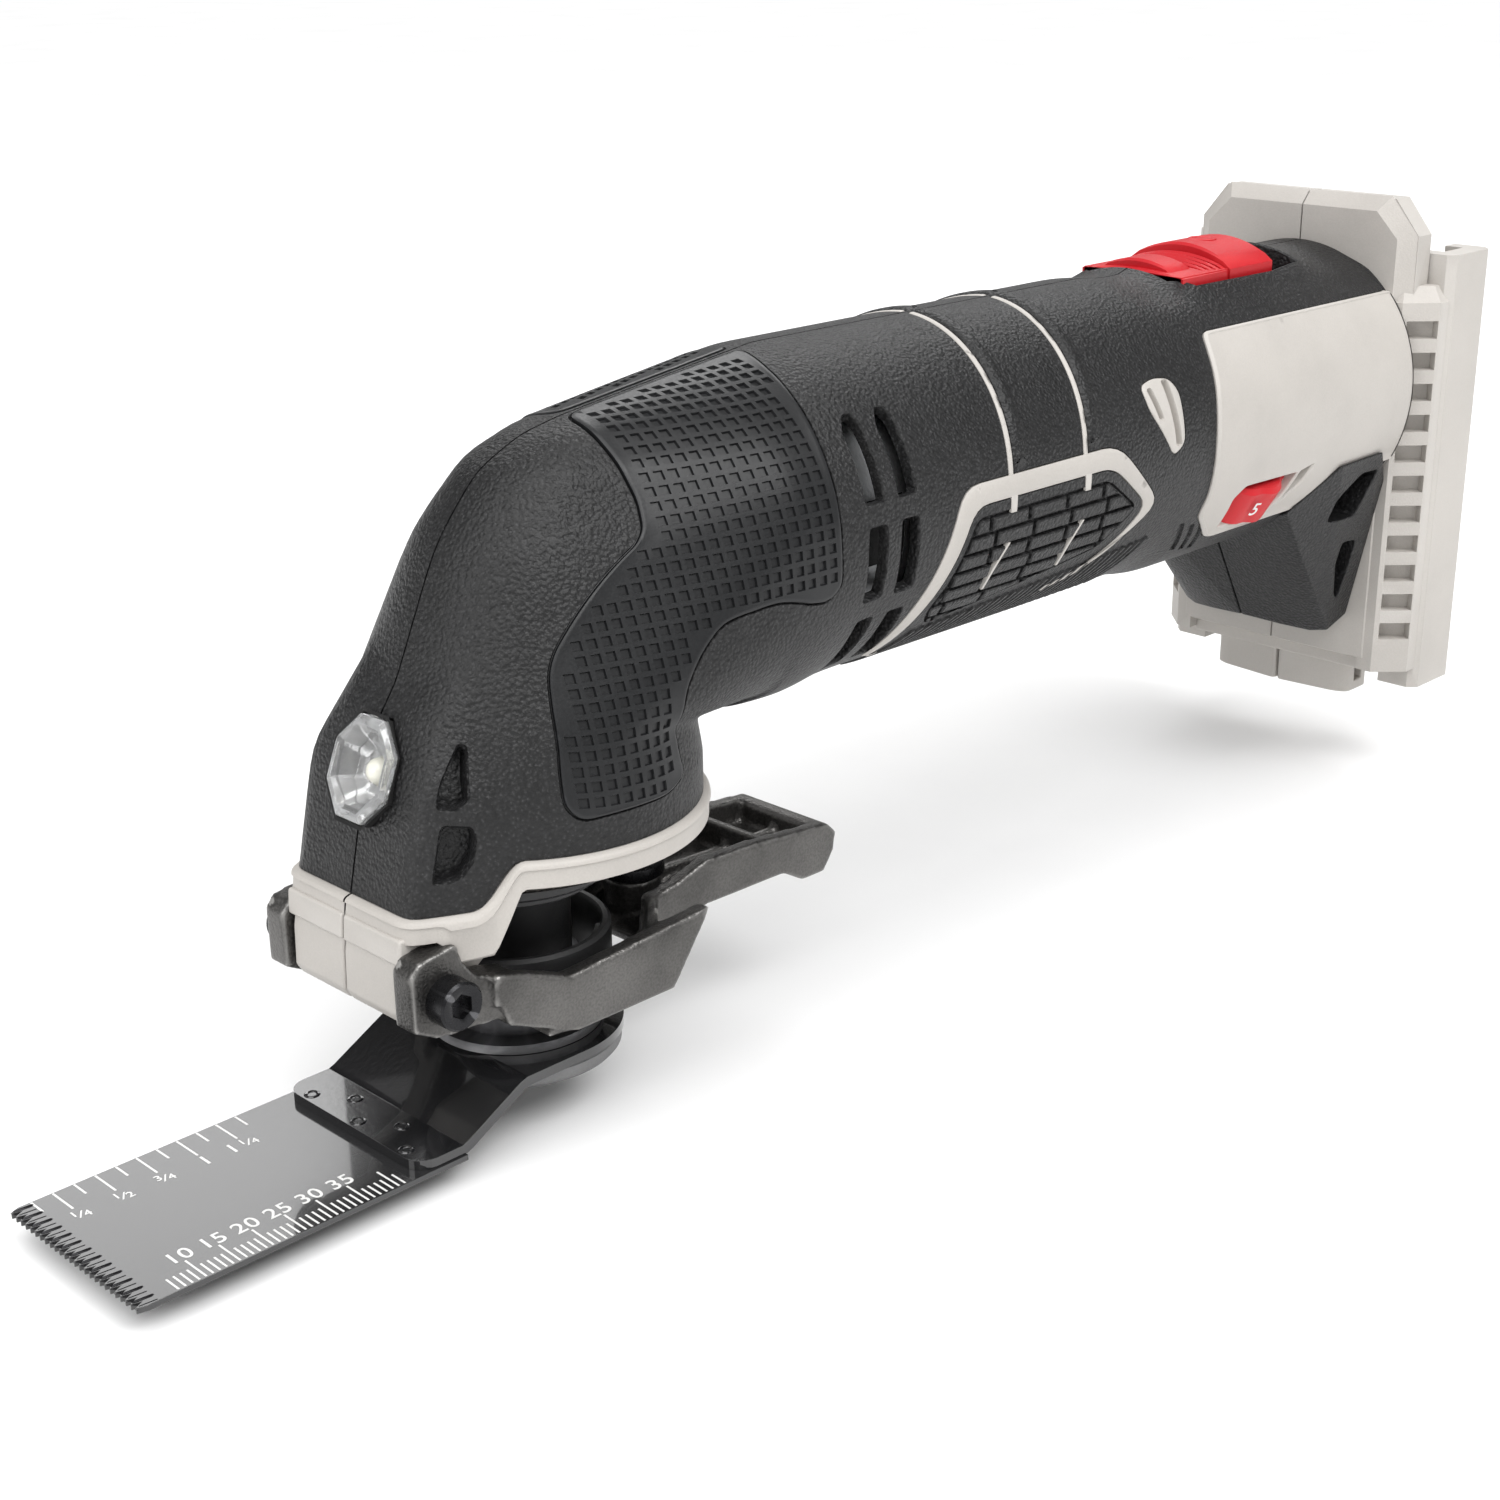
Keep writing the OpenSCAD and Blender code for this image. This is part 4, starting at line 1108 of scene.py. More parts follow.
def build_seam():
    """A near-black strip of painted shade that closes the gap between the halves."""
    sheet_verts, faces = [], []
    lamp = (BODY.find(20.4, 54.2)[0], BODY.find(26.2, 39.6)[0])
    stretches = [(0.0, 0.0, 16.5), (0.0, 56.5, lamp[0]), (0.0, lamp[1], BODY.end_u - 2.0),
                 (BODY.SPAN, 0.0, BODY.end_u - 2.0)]
    for s, start, end in stretches:
        us = np.linspace(start, end, max(2, int((end - start) / 1.5)))
        first = len(sheet_verts)
        line = BODY.at(np.stack([us, np.full_like(us, s)], axis=1), -0.35)
        for p in line:
            sheet_verts += [(p[0], -0.5, p[2]), (p[0], 0.5, p[2])]
        faces += [[first + 2 * k, first + 2 * k + 1, first + 2 * k + 3, first + 2 * k + 2]
                  for k in range(len(us) - 1)]
    mesh("seam_shade_strip", sheet_verts, faces, "seam_shadow")


def build_liner():
    """Painted shade: a near-black sleeve for the dark inside seen through the air slots."""
    radius = 21.6
    verts = [(x, radius * math.sin(t), AXIS_Z + radius * math.cos(t))
             for x in (PLATE_X + 90, PLATE_X + 160)
             for t in np.linspace(0, 2 * math.pi, 64, endpoint=False)]
    mesh("inner_shade_sleeve", verts, quads(2, 64), "seam_shadow")


# ---------- battery end ----------

def build_battery_plate(side):
    """The plate behind the handle, its rounded edge, the vented wall and the battery rail."""
    tag = "left" if side > 0 else "right"
    x0 = PLATE_X
    back = SHELL_LOW[0]
    half = SHELL_HIGH[1]
    top = SHELL_HIGH[2]
    face = [(SEAM, 14), (SEAM, top - 2.6), (15.9, top - 2.6), (20.6, 95.0), (20.6, 14)]
    lip = [(SEAM, 13), (SEAM, top), (17.6, top), (23.4, 95.6), (23.4, 13)]
    core = [(SEAM, 13), (SEAM, top - 0.4), (18.4, top - 0.4), (23.6, 95.6), (23.6, 13)]
    front, front_f = bevel_prism(face, lip, x0, x0 - 2.4)
    parts = [(front, front_f), prism(core, x0 - 7.0, x0 - 2.4, "x")]
    pillar = [(x0 - 0.2, 19.6), (x0 - 0.2, 22.8), (x0 - 5.2, 27.8), (x0 - 8.2, 27.8),
              (x0 - 8.2, 19.6)]
    parts.append(prism(pillar, 11.5, 83.6, "z"))
    cap = [(x0 - 2.0, 19.6), (x0 - 2.0, 21.8), (x0 - 6.0, 25.8), (x0 - 8.2, 25.8),
           (x0 - 8.2, 19.6)]
    crest, crest_f = bevel_prism(pillar, cap, 83.4, 86.4)
    parts.append(([(y, z, x) for x, y, z in crest], crest_f))
    rail = [(x0 - 7.4, 20.5), (x0 - 7.4, half - 1.6), (x0 - 9.0, half),
            (back + 1.6, half), (back, half - 1.6), (back, 20.6), (back + 3.6, 20.6),
            (back + 3.6, half - 4.2), (x0 - 11.0, half - 4.2), (x0 - 11.0, 20.5)]
    parts.append(prism(rail, 7.5, 92.0, "z"))
    piece = solid(parts)
    window = [(x0 - 5.6, 29.6), (x0 + 1.0, 25.4), (x0 - 0.8, 23.6), (x0 - 3.4, 21.8),
              (x0 - 6.6, 25.8), (x0 - 5.0, 27.8)]
    tools = [prism(window, z, z + 3.3, "z") for z in vent_heights()]
    made = carve(piece, tools, f"battery_plate_{tag}", "grey_shell", side)
    bevel(made, 0.45, 3)
    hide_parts(f"housing_{tag}")
    rim = BODY.at([(1.0, s) for s in np.linspace(SEAM, BODY.SPAN - SEAM, 64)], -0.05)
    end = prism([(p[1], p[2]) for p in rim], x0 - 0.4, x0 + 1.2, "x")
    if side < 0:
        end = mirrored(end)
    mesh(f"handle_end_{tag}", *end, "grey_shell")


def vent_heights():
    """Lower edges of the vent windows, evenly up the pillar."""
    return [18.2 + 5.87 * k for k in range(11)]


def bevel_prism(near_face, far_face, x_near, x_far):
    """A slab whose front outline is smaller than its back outline."""
    n = len(near_face)
    verts = [(x_near, y, z) for y, z in near_face] + [(x_far, y, z) for y, z in far_face]
    walls = [[i, (i + 1) % n, n + (i + 1) % n, n + i] for i in range(n)]
    return verts, [list(range(n - 1, -1, -1)), list(range(n, 2 * n))] + walls


def carve(piece, tools, name, slot, side=1, fuse=True):
    """Fuses overlapping parts, takes the tools out with exact cuts and dresses the result."""
    if side < 0:
        piece.data.transform(Matrix.Scale(-1, 4, (0, 1, 0)))
        piece.data.flip_normals()
        tools = [mirrored(t) for t in tools]
    cutters = [solid([t]) for t in tools]
    if fuse:
        own = piece.modifiers.new("fuse", "BOOLEAN")
        own.operation = "UNION"
        own.solver = "EXACT"
        own.use_self = True
        own.object = solid([tube((0, 0, -900), (0, 0, -899), 0.2, 3)])
        cutters.append(own.object)
    for cutter in cutters[:len(tools)]:
        mod = piece.modifiers.new("cut", "BOOLEAN")
        mod.operation = "DIFFERENCE"
        mod.solver = "EXACT"
        mod.object = cutter
    data = bpy.data.meshes.new_from_object(
        piece.evaluated_get(bpy.context.evaluated_depsgraph_get()))
    for o in cutters + [piece]:
        bpy.data.objects.remove(o)
    work = bmesh.new()
    work.from_mesh(data)
    stray = [v for v in work.verts if v.co.z < -0.5]
    bmesh.ops.delete(work, geom=stray, context="VERTS")
    bmesh.ops.remove_doubles(work, verts=work.verts, dist=1e-6)
    bmesh.ops.dissolve_limit(work, angle_limit=math.radians(1.0), verts=work.verts,
                             edges=work.edges)
    work.to_mesh(data)
    work.free()
    data.materials.clear()
    data.materials.append(MATS[slot])
    made = bpy.data.objects.new(name, data)
    bpy.context.scene.collection.objects.link(made)
    return dress(made, slot, "tool_body", (), 32.0)


def build_foot():
    """The block under the plate that stops the battery, with a window through its side."""
    x0 = PLATE_X
    for side, tag in ((1, "left"), (-1, "right")):
        plan = [(x0 - 2.6, SEAM), (x0 - 3.8, 12.8), (x0 - 5.0, 15.4), (x0 - 12.0, 15.4),
                (x0 - 14.0, 12.0), (x0 - 14.0, SEAM)]
        piece = solid([prism(rounded(plan, 1.2, 4), 4.3, 16.0, "z")])
        hole = prism([(x0 - 7.4, 6.2), (x0 - 9.9, 6.4), (x0 - 10.1, 12.4), (x0 - 7.2, 12.4)],
                     9.0, 17.0, "y")
        made = carve(piece, [hole], f"foot_{tag}", "grey_shell", side, fuse=False)
        bevel(made, 0.5, 3)
    lower = [(x0 - 2.4, -19.5), (x0 - 2.4, 19.5), (x0 - 6.0, 24.0), (x0 - 16.0, 24.0),
             (x0 - 16.0, -24.0), (x0 - 6.0, -24.0)]
    v, f = prism(lower, 10.6, 14.2, "z")
    bevel(mesh("plate_floor", v, f, "grey_shell"), 0.5, 3)


def build_boot(side):
    """The black boot under the rear of the handle with two sunk windows in its flank."""
    tag = "left" if side > 0 else "right"
    x0 = PLATE_X
    ridge = [(x0 + 23.0, SEAM, 41.0), (x0 + 25.0, 12.0, 44.6), (x0 + 29.2, 19.6, 48.6),
             (x0 + 21.4, 23.6, 54.0), (x0 + 19.8, 24.8, 56.6), (x0 + 6.0, 24.9, 56.9),
             (x0 - 0.4, 22.0, 50.0)]
    sole = [(x0 + 11.4, SEAM, 21.2), (x0 + 9.6, 8.0, 20.4), (x0 + 7.6, 13.4, 19.8),
            (x0 + 6.2, 16.4, 20.2), (x0 + 0.4, 16.6, 22.2), (x0 - 0.4, 15.0, 22.4),
            (x0 - 0.4, SEAM, 20.4)]
    inner = [(x0 - 0.4, SEAM, 50.0), (x0 + 20.0, SEAM, 47.0)]
    work = bmesh.new()
    for p in ridge + sole + inner:
        work.verts.new((p[0], p[1], p[2]))
    bmesh.ops.convex_hull(work, input=work.verts)
    bmesh.ops.dissolve_limit(work, angle_limit=math.radians(4.0), verts=work.verts,
                             edges=work.edges)
    for v in work.verts:
        v.co *= MM
    data = bpy.data.meshes.new("work")
    bmesh.ops.recalc_face_normals(work, faces=work.faces)
    work.to_mesh(data)
    work.free()
    piece = bpy.data.objects.new("work", data)
    bpy.context.scene.collection.objects.link(piece)
    upper = [(x0 + 18.0, 45.0), (x0 + 17.6, 49.7), (x0 + 11.4, 53.6), (x0 + 5.6, 53.4),
             (x0 + 9.4, 44.8)]
    lower = [(x0 + 11.0, 35.4), (x0 + 10.6, 39.5), (x0 + 5.6, 39.1), (x0 + 5.3, 33.6),
             (x0 + 6.0, 27.0), (x0 + 7.8, 28.0)]
    tools = [prism(rounded(upper, 0.8, 3), 16.8, 26.0, "y"),
             prism(rounded(lower, 0.8, 3), 14.6, 24.0, "y")]
    made = carve(piece, tools, f"boot_{tag}_cover", "black_rubber", side, fuse=False)
    bevel(made, 0.8, 4, 14.0)
    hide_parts(f"boot_{tag}")


# ---------- nose, lamp and collar ----------

LENS_AT = Matrix.Translation((23.9, 0.0, 47.0)) @ Matrix.Rotation(math.radians(68), 4, "Y")


LENS_STRETCH = 1.12                 # the window is longer up and down than across


def octagon(radius, height):
    """Corners of an eight-sided outline in the lamp's own frame, as 3-D points."""
    out = []
    for k in range(8):
        a = math.radians(22.5 + 45 * k)
        out.append(tuple(LENS_AT @ Vector((radius * LENS_STRETCH * math.cos(a),
                                           radius * math.sin(a), height))))
    return out


def build_lens():
    """An eight-sided clear window with a faceted dish down to the lamp."""
    rings = [octagon(6.9, -4.0), octagon(6.9, 0.6), octagon(6.2, 1.15), octagon(5.6, 1.15),
             octagon(4.6, 0.0), octagon(2.9, -2.2), octagon(1.9, -2.8)]
    verts = [p for ring in rings for p in ring]
    faces = quads(len(rings), 8)
    faces += [list(range(7, -1, -1)), [8 * (len(rings) - 1) + k for k in range(8)]]
    lens = mesh("lamp_window", verts, faces, "clear_lens", replaces=("led_lens",),
                sharp=12.0)
    bevel(lens, 0.18, 2, 12.0)
    dome = [(0.0, -1.0), (0.8, -1.12), (1.5, -1.6), (1.9, -2.4), (2.0, -3.6), (2.3, -3.7),
            (2.3, -4.2), (0.0, -4.2)]
    v, f = lathe(dome, LENS_AT, 32)
    mesh("lamp_dome", v, f, "led_white", replaces=("led",))
    cup = [octagon(6.9, -4.4), octagon(6.9, -5.4)]
    verts = cup[0] + cup[1]
    faces = [list(range(8)), list(range(15, 7, -1))]
    faces += [[k, 8 + k, 8 + (k + 1) % 8, (k + 1) % 8] for k in range(8)]
    mesh("lamp_reflector", verts, faces, "cast_aluminium", replaces=("led_board",))
    # The well round the window is a near-black wall of painted shade.
    rim = [octagon(7.6, 0.3), octagon(7.1, 0.1), octagon(7.0, -5.0)]
    verts = [p for ring in rim for p in ring]
    mesh("lamp_well", verts, quads(3, 8), "seam_shadow", sharp=12.0)


def collar_heights(a):
    """Lower and upper edge of the grey ring at an angle from the front, in radians."""
    angle = math.degrees(a)
    front = 1.0 - smooth_step(angle, 37.5, 53.0)
    top = 36.3 + (COLLAR_Z - 0.1 - 36.3) * front
    bottom = np.interp(angle, [0, 30, 32, 43, 52, 180], [26.4, 26.4, 22.8, 23.2, 32.2, 32.4])
    return float(bottom), float(top)


def build_collar(side):
    """The grey collar: a rounded bead under the skin, the ring wall and the edge below."""
    tag = "left" if side > 0 else "right"
    s = np.linspace(SEAM, BODY.SPAN - SEAM, 120)
    levels = [(0.0, -1.2), (0.0, -0.35), (0.02, 0.25), (0.07, 0.75), (0.14, 1.0),
              (0.24, 1.05), (0.30, 0.75), (0.92, 0.75), (0.98, 0.35), (1.0, -0.3),
              (1.0, -9.0)]
    verts = []
    for t, grow in levels:
        for si in s:
            low, high = collar_heights(si / BODY_R)
            z = high + (low - high) * t
            u = BODY.BEND_U + BODY.FAN_U + PIVOT[1] - min(z, 36.8)
            p = BODY.at([(min(u, BODY.end_u), si)], grow)[0]
            p[2] = z
            verts.append(tuple(p))
    faces = quads(len(levels), len(s), closed=False)
    if side < 0:
        verts, faces = mirrored((verts, faces))
    stands_for = ("nose_collar",) if side > 0 else ()
    mesh(f"collar_{tag}", verts, faces, "grey_shell", replaces=stands_for, sharp=40.0)


def build_lug():
    """The lug between the lever's ears, its step and webs, and the floor over the nose."""
    for side, tag in ((1, "left"), (-1, "right")):
        lug = [(28.3, 27.6), (29.3, 22.0), (29.5, 16.2), (28.4, 14.5), (21.0, 14.7),
               (14.0, 20.0), (12.0, 27.6)]
        parts = [prism(lug, SEAM, 11.9), prism([(29.1, 27.4), (29.4, 23.6), (20, 23.6),
                                                (20, 27.4)], SEAM, 12.9),
                 prism([(21.5, 28.0), (20.8, 22.6), (12.5, 21.0), (6.0, 32.6),
                        (9.5, 33.0)], 10.2, 12.6)]
        v, f = joined(parts)
        if side < 0:
            v, f = mirrored((v, f))
        bevel(mesh(f"lug_{tag}", v, f, "grey_shell"), 0.45, 3)
    v, f = tube((-2.4, 0, 31.0), (-2.4, 0, 32.6), 23.6, 64)
    mesh("collar_floor", v, f, "grey_shell")


# ---------- lever ----------

LEVER_PIVOT = (25.0, 0.0, 19.0)
TAIL_X = -23.5                      # the boss on the lever's tail, under the return spring
SPRING_R = 2.6
WIRE_R = 0.4


def build_lever():
    """The release lever as one casting: ears, thick-rimmed bowl, and a ribbed open tail."""
    ear = [(30.4, 15.6), (30.6, 23.6), (29.0, 25.4), (22.8, 26.3), (21.8, 23.2),
           (19.6, 20.4), (16.6, 19.8), (13.0, 18.8), (13.0, 12.4), (19.5, 13.0),
           (26.8, 13.6)]
    rim = [(17.5, 20.2), (12.0, 18.6), (4.6, 15.6), (-22.6, 17.4), (-20.4, 14.4),
           (4.6, 12.4), (18.0, 15.6)]
    flank = [(18.0, 19.0), (4.6, 14.8), (-22.0, 16.2), (-15.2, 6.7), (3.8, 6.7),
             (15.6, 11.9)]
    tail = [(-18.5, 17.2), (-24.0, 18.0), (-30.0, 19.8), (-40.3, 19.4), (-56.6, 17.8),
            (-58.6, 16.0), (-58.0, 13.0), (-55.8, 9.9), (-51.0, 9.9), (-47.0, 12.2),
            (-37.6, 12.8), (-30.0, 12.6), (-17.0, 8.0)]
    floor = [(-17.0, 10.6), (-18.0, 8.6), (-30.0, 12.6), (-47.0, 12.2), (-51.0, 9.9),
             (-55.8, 9.9), (-58.0, 13.0), (-57.6, 15.0), (-54.0, 14.0), (-30.0, 14.2)]
    end = [(-58.6, 16.0), (-56.6, 17.9), (-54.2, 17.5), (-54.2, 13.0), (-57.8, 13.0)]
    cross = [(-45.2, 13.0), (-45.2, 18.4), (-43.4, 18.6), (-43.4, 13.0)]
    spine = [(-55.0, 13.0), (-55.0, 15.4), (-43.0, 15.6), (-20.0, 16.6), (-20.0, 10.0)]
    parts = both_sides([prism(ear, 12.5, 16.9), prism(rim, 15.6, 18.4),
                        prism(flank, 15.2, 18.4), prism(tail, 7.4, 9.9),
                        hull_solid([(-18.0, 7.6, 9.0), (-18.0, 9.9, 9.0),
                                    (-20.0, 7.6, 17.4), (-20.0, 9.9, 17.4),
                                    (-12.0, 18.2, 16.0), (-12.0, 15.6, 16.0),
                                    (-10.0, 17.6, 8.0), (-10.0, 15.0, 8.0)])])
    parts += [prism(floor, -9.9, 9.9), prism(end, -9.9, 9.9), prism(cross, -9.9, 9.9),
              prism(spine, -0.8, 0.8), prism([(-14.5, 6.8), (-14.5, 8.6), (8.0, 8.6),
                                              (8.0, 6.8)], -17.4, 17.4),
              tube((TAIL_X, 0, 11.0), (TAIL_X, 0, 17.0), 4.4, 40)]
    cuts = [tube((0, 0, 5.0), (0, 0, 13.4), 13.4, 64),
            tube((LEVER_PIVOT[0], -30, LEVER_PIVOT[2]), (LEVER_PIVOT[0], 30, LEVER_PIVOT[2]),
                 2.6, 32)]
    cast("release_lever", parts, cuts, "gunmetal_casting", "lever_body", 0.42, 3,
         ("clamp_lever",))


def hull_solid(points):
    """The convex hull of points as (verts, faces)."""
    work = bmesh.new()
    for p in points:
        work.verts.new(p)
    bmesh.ops.convex_hull(work, input=work.verts)
    loose = [v for v in work.verts if not v.link_faces]
    bmesh.ops.delete(work, geom=loose, context="VERTS")
    work.verts.index_update()
    out = [tuple(v.co) for v in work.verts], [[v.index for v in f.verts] for f in work.faces]
    work.free()
    return out


def build_pivots():
    """Socket-head pivot screws with chamfered heads and hexagon sockets."""
    for side, tag in ((1, "left"), (-1, "right")):
        place = Matrix.Translation(LEVER_PIVOT) @ Matrix.Rotation(
            math.radians(-90 * side), 4, "X")
        head = [(0.0, 17.6), (1.95, 17.6), (1.95, 20.2), (2.35, 20.45), (3.15, 20.45),
                (3.5, 20.1), (3.5, 16.4), (2.5, 16.2), (2.5, 12.6), (1.6, 12.2),
                (1.6, 8.4), (0.0, 8.2)]
        v, f = lathe(head, place, 60)
        for ring in range(60):
            a = 2 * math.pi * ring / 60
            hexa = 1.62 / math.cos((a + math.pi / 6) % (math.pi / 3) - math.pi / 6)
            for k in (1, 2):
                h = head[k][1]
                v[ring * len(head) + k] = tuple(
                    place @ Vector((hexa * math.cos(a), hexa * math.sin(a), h)))
        stands_for = ("pivot_screws",) if side > 0 else ()
        mesh(f"pivot_screw_{tag}", v, f, "black_steel", replaces=stands_for, sharp=28.0)


def build_lever_spring():
    """The return spring: a fixed coil from the lever's tail boss up into the housing."""
    low, high, turns, steps, around = 17.9, 32.0, 6, 22, 8
    verts = []
    count = turns * steps
    for k in range(count + 1):
        a = 2 * math.pi * k / steps
        z = low + (high - low) * k / count
        for i in range(around):
            b = 2 * math.pi * i / around
            r = SPRING_R + WIRE_R * math.cos(b)
            verts.append((TAIL_X + r * math.cos(a), r * math.sin(a),
                          z + WIRE_R * math.sin(b)))
    faces = quads(count + 1, around)
    faces += [list(range(around))[::-1], [around * count + i for i in range(around)]]
    wire = mesh("return_spring", verts, faces, "spring_steel", None, ("lever_spring",))
    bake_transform(wire)


def build_release_cup():
    """The black cup round the nose, with its swirled inner lips."""
    outer = RING_HIGH[1]
    low, high = RING_LOW[2], RING_HIGH[2]
    at = Matrix.Identity(4)
    wall = [(outer - 2.0, low), (outer - 0.5, low), (outer, low + 0.6), (outer, high - 0.5),
            (outer - 0.5, high), (outer - 1.2, high), (outer - 1.6, high - 0.6),
            (outer - 1.8, low + 1.0), (outer - 2.0, low)]
    v, f = lathe(wall, at, 96)
    mesh("release_cup", v, f, "black_plastic", "lever_body", ("release_ring",))
    verts = []
    n = 90
    for k in range(n + 1):
        a = math.radians(-160 + 300 * k / n)
        r = 9.6 + 2.4 * k / n
        for dr, h in ((0.0, 12.4), (0.0, 15.8), (0.9, 15.8), (0.9, 12.4)):
            verts.append(((r + dr) * math.cos(a), (r + dr) * math.sin(a), h))
    faces = quads(n + 1, 4)
    faces += [[3, 2, 1, 0], [4 * n, 4 * n + 1, 4 * n + 2, 4 * n + 3]]
    bevel(mesh("cup_swirl", verts, faces, "black_plastic", "lever_body"), 0.2, 2)
    nose = [(8.1, 11.0), (8.6, 12.0), (8.6, 22.6), (9.4, 24.1), (12.7, 24.3), (13.1, 24.7),
            (13.1, 26.1), (15.2, 26.2), (15.7, 26.7), (15.7, 29.2), (24.0, 31.5)]
    v, f = lathe(nose, at, 96)
    mesh("nose_sleeve", v, f, "black_plastic", "tool_body", ("dust_seal",))
    boss = [(0.0, 20.6), (1.5, 20.6), (1.8, 20.3), (1.8, 19.5), (4.3, 19.5), (4.9, 19.1),
            (5.0, 18.4), (5.0, 17.4), (3.6, 17.0), (0.0, 17.0)]
    v, f = lathe(boss, Matrix.Translation((TAIL_X, 0, 0)), 48)
    mesh("tail_boss", v, f, "black_steel", "lever_body")


# ---------- accessory ----------

FOOT_Z = -6.0                       # underside of the arm's front end, below its seat

def build_arm():
    """The cranked black arm with rounded front corners and rolled edges."""
    front_x, half, t = ARM_HIGH
    section = [((11.0, t), (10.7, 0.0)), ((12.3, t - 0.45), (11.6, -0.35)),
               ((21.9, FOOT_Z + 0.4 + t), (21.2, FOOT_Z + 0.45)),
               ((22.9, FOOT_Z + t), (22.2, FOOT_Z))]
    outline = [(half * math.cos(a), half * math.sin(a))
               for a in np.linspace(math.pi / 2, 3 * math.pi / 2, 40)]
    work = bmesh.new()
    plan = outline + [(10.8, -half), (10.8, half)]
    lower = [work.verts.new((x, y, 0.0)) for x, y in plan]
    upper = [work.verts.new((x, y, t)) for x, y in plan]
    n = len(plan)
    work.faces.new(lower[::-1])
    work.faces.new(upper)
    for k in range(n):
        if k != n - 2:
            work.faces.new([lower[k], lower[(k + 1) % n], upper[(k + 1) % n], upper[k]])
    rows = [[upper[n - 2], upper[n - 1], lower[n - 1], lower[n - 2]]]
    for (xt, zt), (xb, zb) in section:
        rows.append([work.verts.new((xt, -half, zt)), work.verts.new((xt, half, zt)),
                     work.verts.new((xb, half, zb)), work.verts.new((xb, -half, zb))])
    corner_r = 3.2
    corner = [(front_x - corner_r + corner_r * math.sin(a),
               half - corner_r + corner_r * math.cos(a))
              for a in np.linspace(0.0, math.pi / 2, 7)]
    front = corner + [(x, -y) for x, y in corner[::-1]]
    for a, b in zip(rows, rows[1:]):
        for k in range(4):
            work.faces.new([a[k], b[k], b[(k + 1) % 4], a[(k + 1) % 4]])
    last = rows[-1]
    tops = [work.verts.new((x, y, FOOT_Z + t)) for x, y in front]
    bases = [work.verts.new((x, y, FOOT_Z)) for x, y in front]
    work.faces.new([last[0]] + tops[::-1] + [last[1]])
    work.faces.new([last[2]] + bases + [last[3]])
    m = len(front)
    for k in range(m - 1):
        work.faces.new([tops[k], tops[k + 1], bases[k + 1], bases[k]])
    work.faces.new([last[1], tops[0], bases[0], last[2]])
    work.faces.new([last[0], last[3], bases[-1], tops[-1]])
    bmesh.ops.recalc_face_normals(work, faces=work.faces)
    work.verts.index_update()
    verts = [tuple(v.co) for v in work.verts]
    faces = [[v.index for v in f.verts] for f in work.faces]
    work.free()
    arm = mesh("arm_cranked", verts, faces, "black_enamel", "clamp_body", ("blade_arm",))
    bevel(arm, 0.28, 3, 12.0)


def rivet_places():
    """Three rivets along the arm's front edge and two behind them."""
    front_x = ARM_HIGH[0]
    return ([(front_x - 1.5, s * 11.1) for s in (-1, 0, 1)]
            + [(front_x - 5.0, s * 5.5) for s in (-1, 1)])


def build_rivets():
    """Rivets with a dished head in a shallow countersink."""
    parts = []
    top = FOOT_Z + ARM_HIGH[2]
    for x, y in rivet_places():
        prof = [(0.0, top - 0.05), (0.55, top - 0.02), (0.75, top + 0.14),
                (1.0, top + 0.16), (1.2, top + 0.02), (1.2, top - 0.2)]
        parts.append(lathe(prof, Matrix.Translation((x, y, 0.0)), 28))
    v, f = joined(parts)
    mesh("rivet_heads", v, f, "black_enamel", "clamp_body", ("blade_rivets",))


def tooth_line(count):
    """The ground teeth along the front edge: a steep and a shallow flank each."""
    half = BLADE_HIGH[1]
    pitch = 2 * half / count
    line = []
    for k in range(count):
        y = half - k * pitch
        line += [(BLADE_HIGH[0] - 1.35, y), (BLADE_HIGH[0] - 0.05, y - 0.32 * pitch),
                 (BLADE_HIGH[0] - 0.05, y - 0.5 * pitch)]
    return line + [(BLADE_HIGH[0] - 1.35, -half)]


def build_blade():
    """The plunge-cut plate, its set teeth and the ruler printed along both edges."""
    half = BLADE_HIGH[1]
    line = tooth_line(26)
    outline = line + [(BLADE_LOW[0], -half), (BLADE_LOW[0], half)]
    v, f = prism(outline, BLADE_LOW[2] + 0.02, BLADE_HIGH[2], "z")
    bevel(mesh("saw_plate", v, f, "blade_steel", "clamp_body", ("blade_plate",)), 0.07, 2)
    parts = []
    pitch = 2 * half / 26
    for k in range(26):
        y = half - (k + 0.42) * pitch
        lift = 0.12 if k % 2 else -0.02
        z = BLADE_HIGH[2] + lift
        parts.append(([(BLADE_HIGH[0] - 3.4, y + 0.40, z - 0.25),
                       (BLADE_HIGH[0] - 3.4, y - 0.18, z - 0.25),
                       (BLADE_HIGH[0] - 0.05, y - 0.30, z - 0.30),
                       (BLADE_HIGH[0] - 0.05, y + 0.20, z - 0.30),
                       (BLADE_HIGH[0] - 2.9, y + 0.2, z + 0.10),
                       (BLADE_HIGH[0] - 0.6, y - 0.05, z + 0.10)],
                      [[0, 1, 2, 3], [0, 3, 5, 4], [1, 4, 5, 2], [0, 4, 1], [3, 2, 5]]))
    v, f = joined(parts)
    mesh("saw_teeth", v, f, "black_steel", "clamp_body", sharp=10.0)
    build_ruler()


def mark(x, y0, y1, width):
    """One printed tick across the blade at x, from y0 to y1."""
    z = BLADE_HIGH[2]
    return prism([(x - width / 2, y0), (x + width / 2, y0), (x + width / 2, y1),
                  (x - width / 2, y1)], z, z + 0.03, "z")


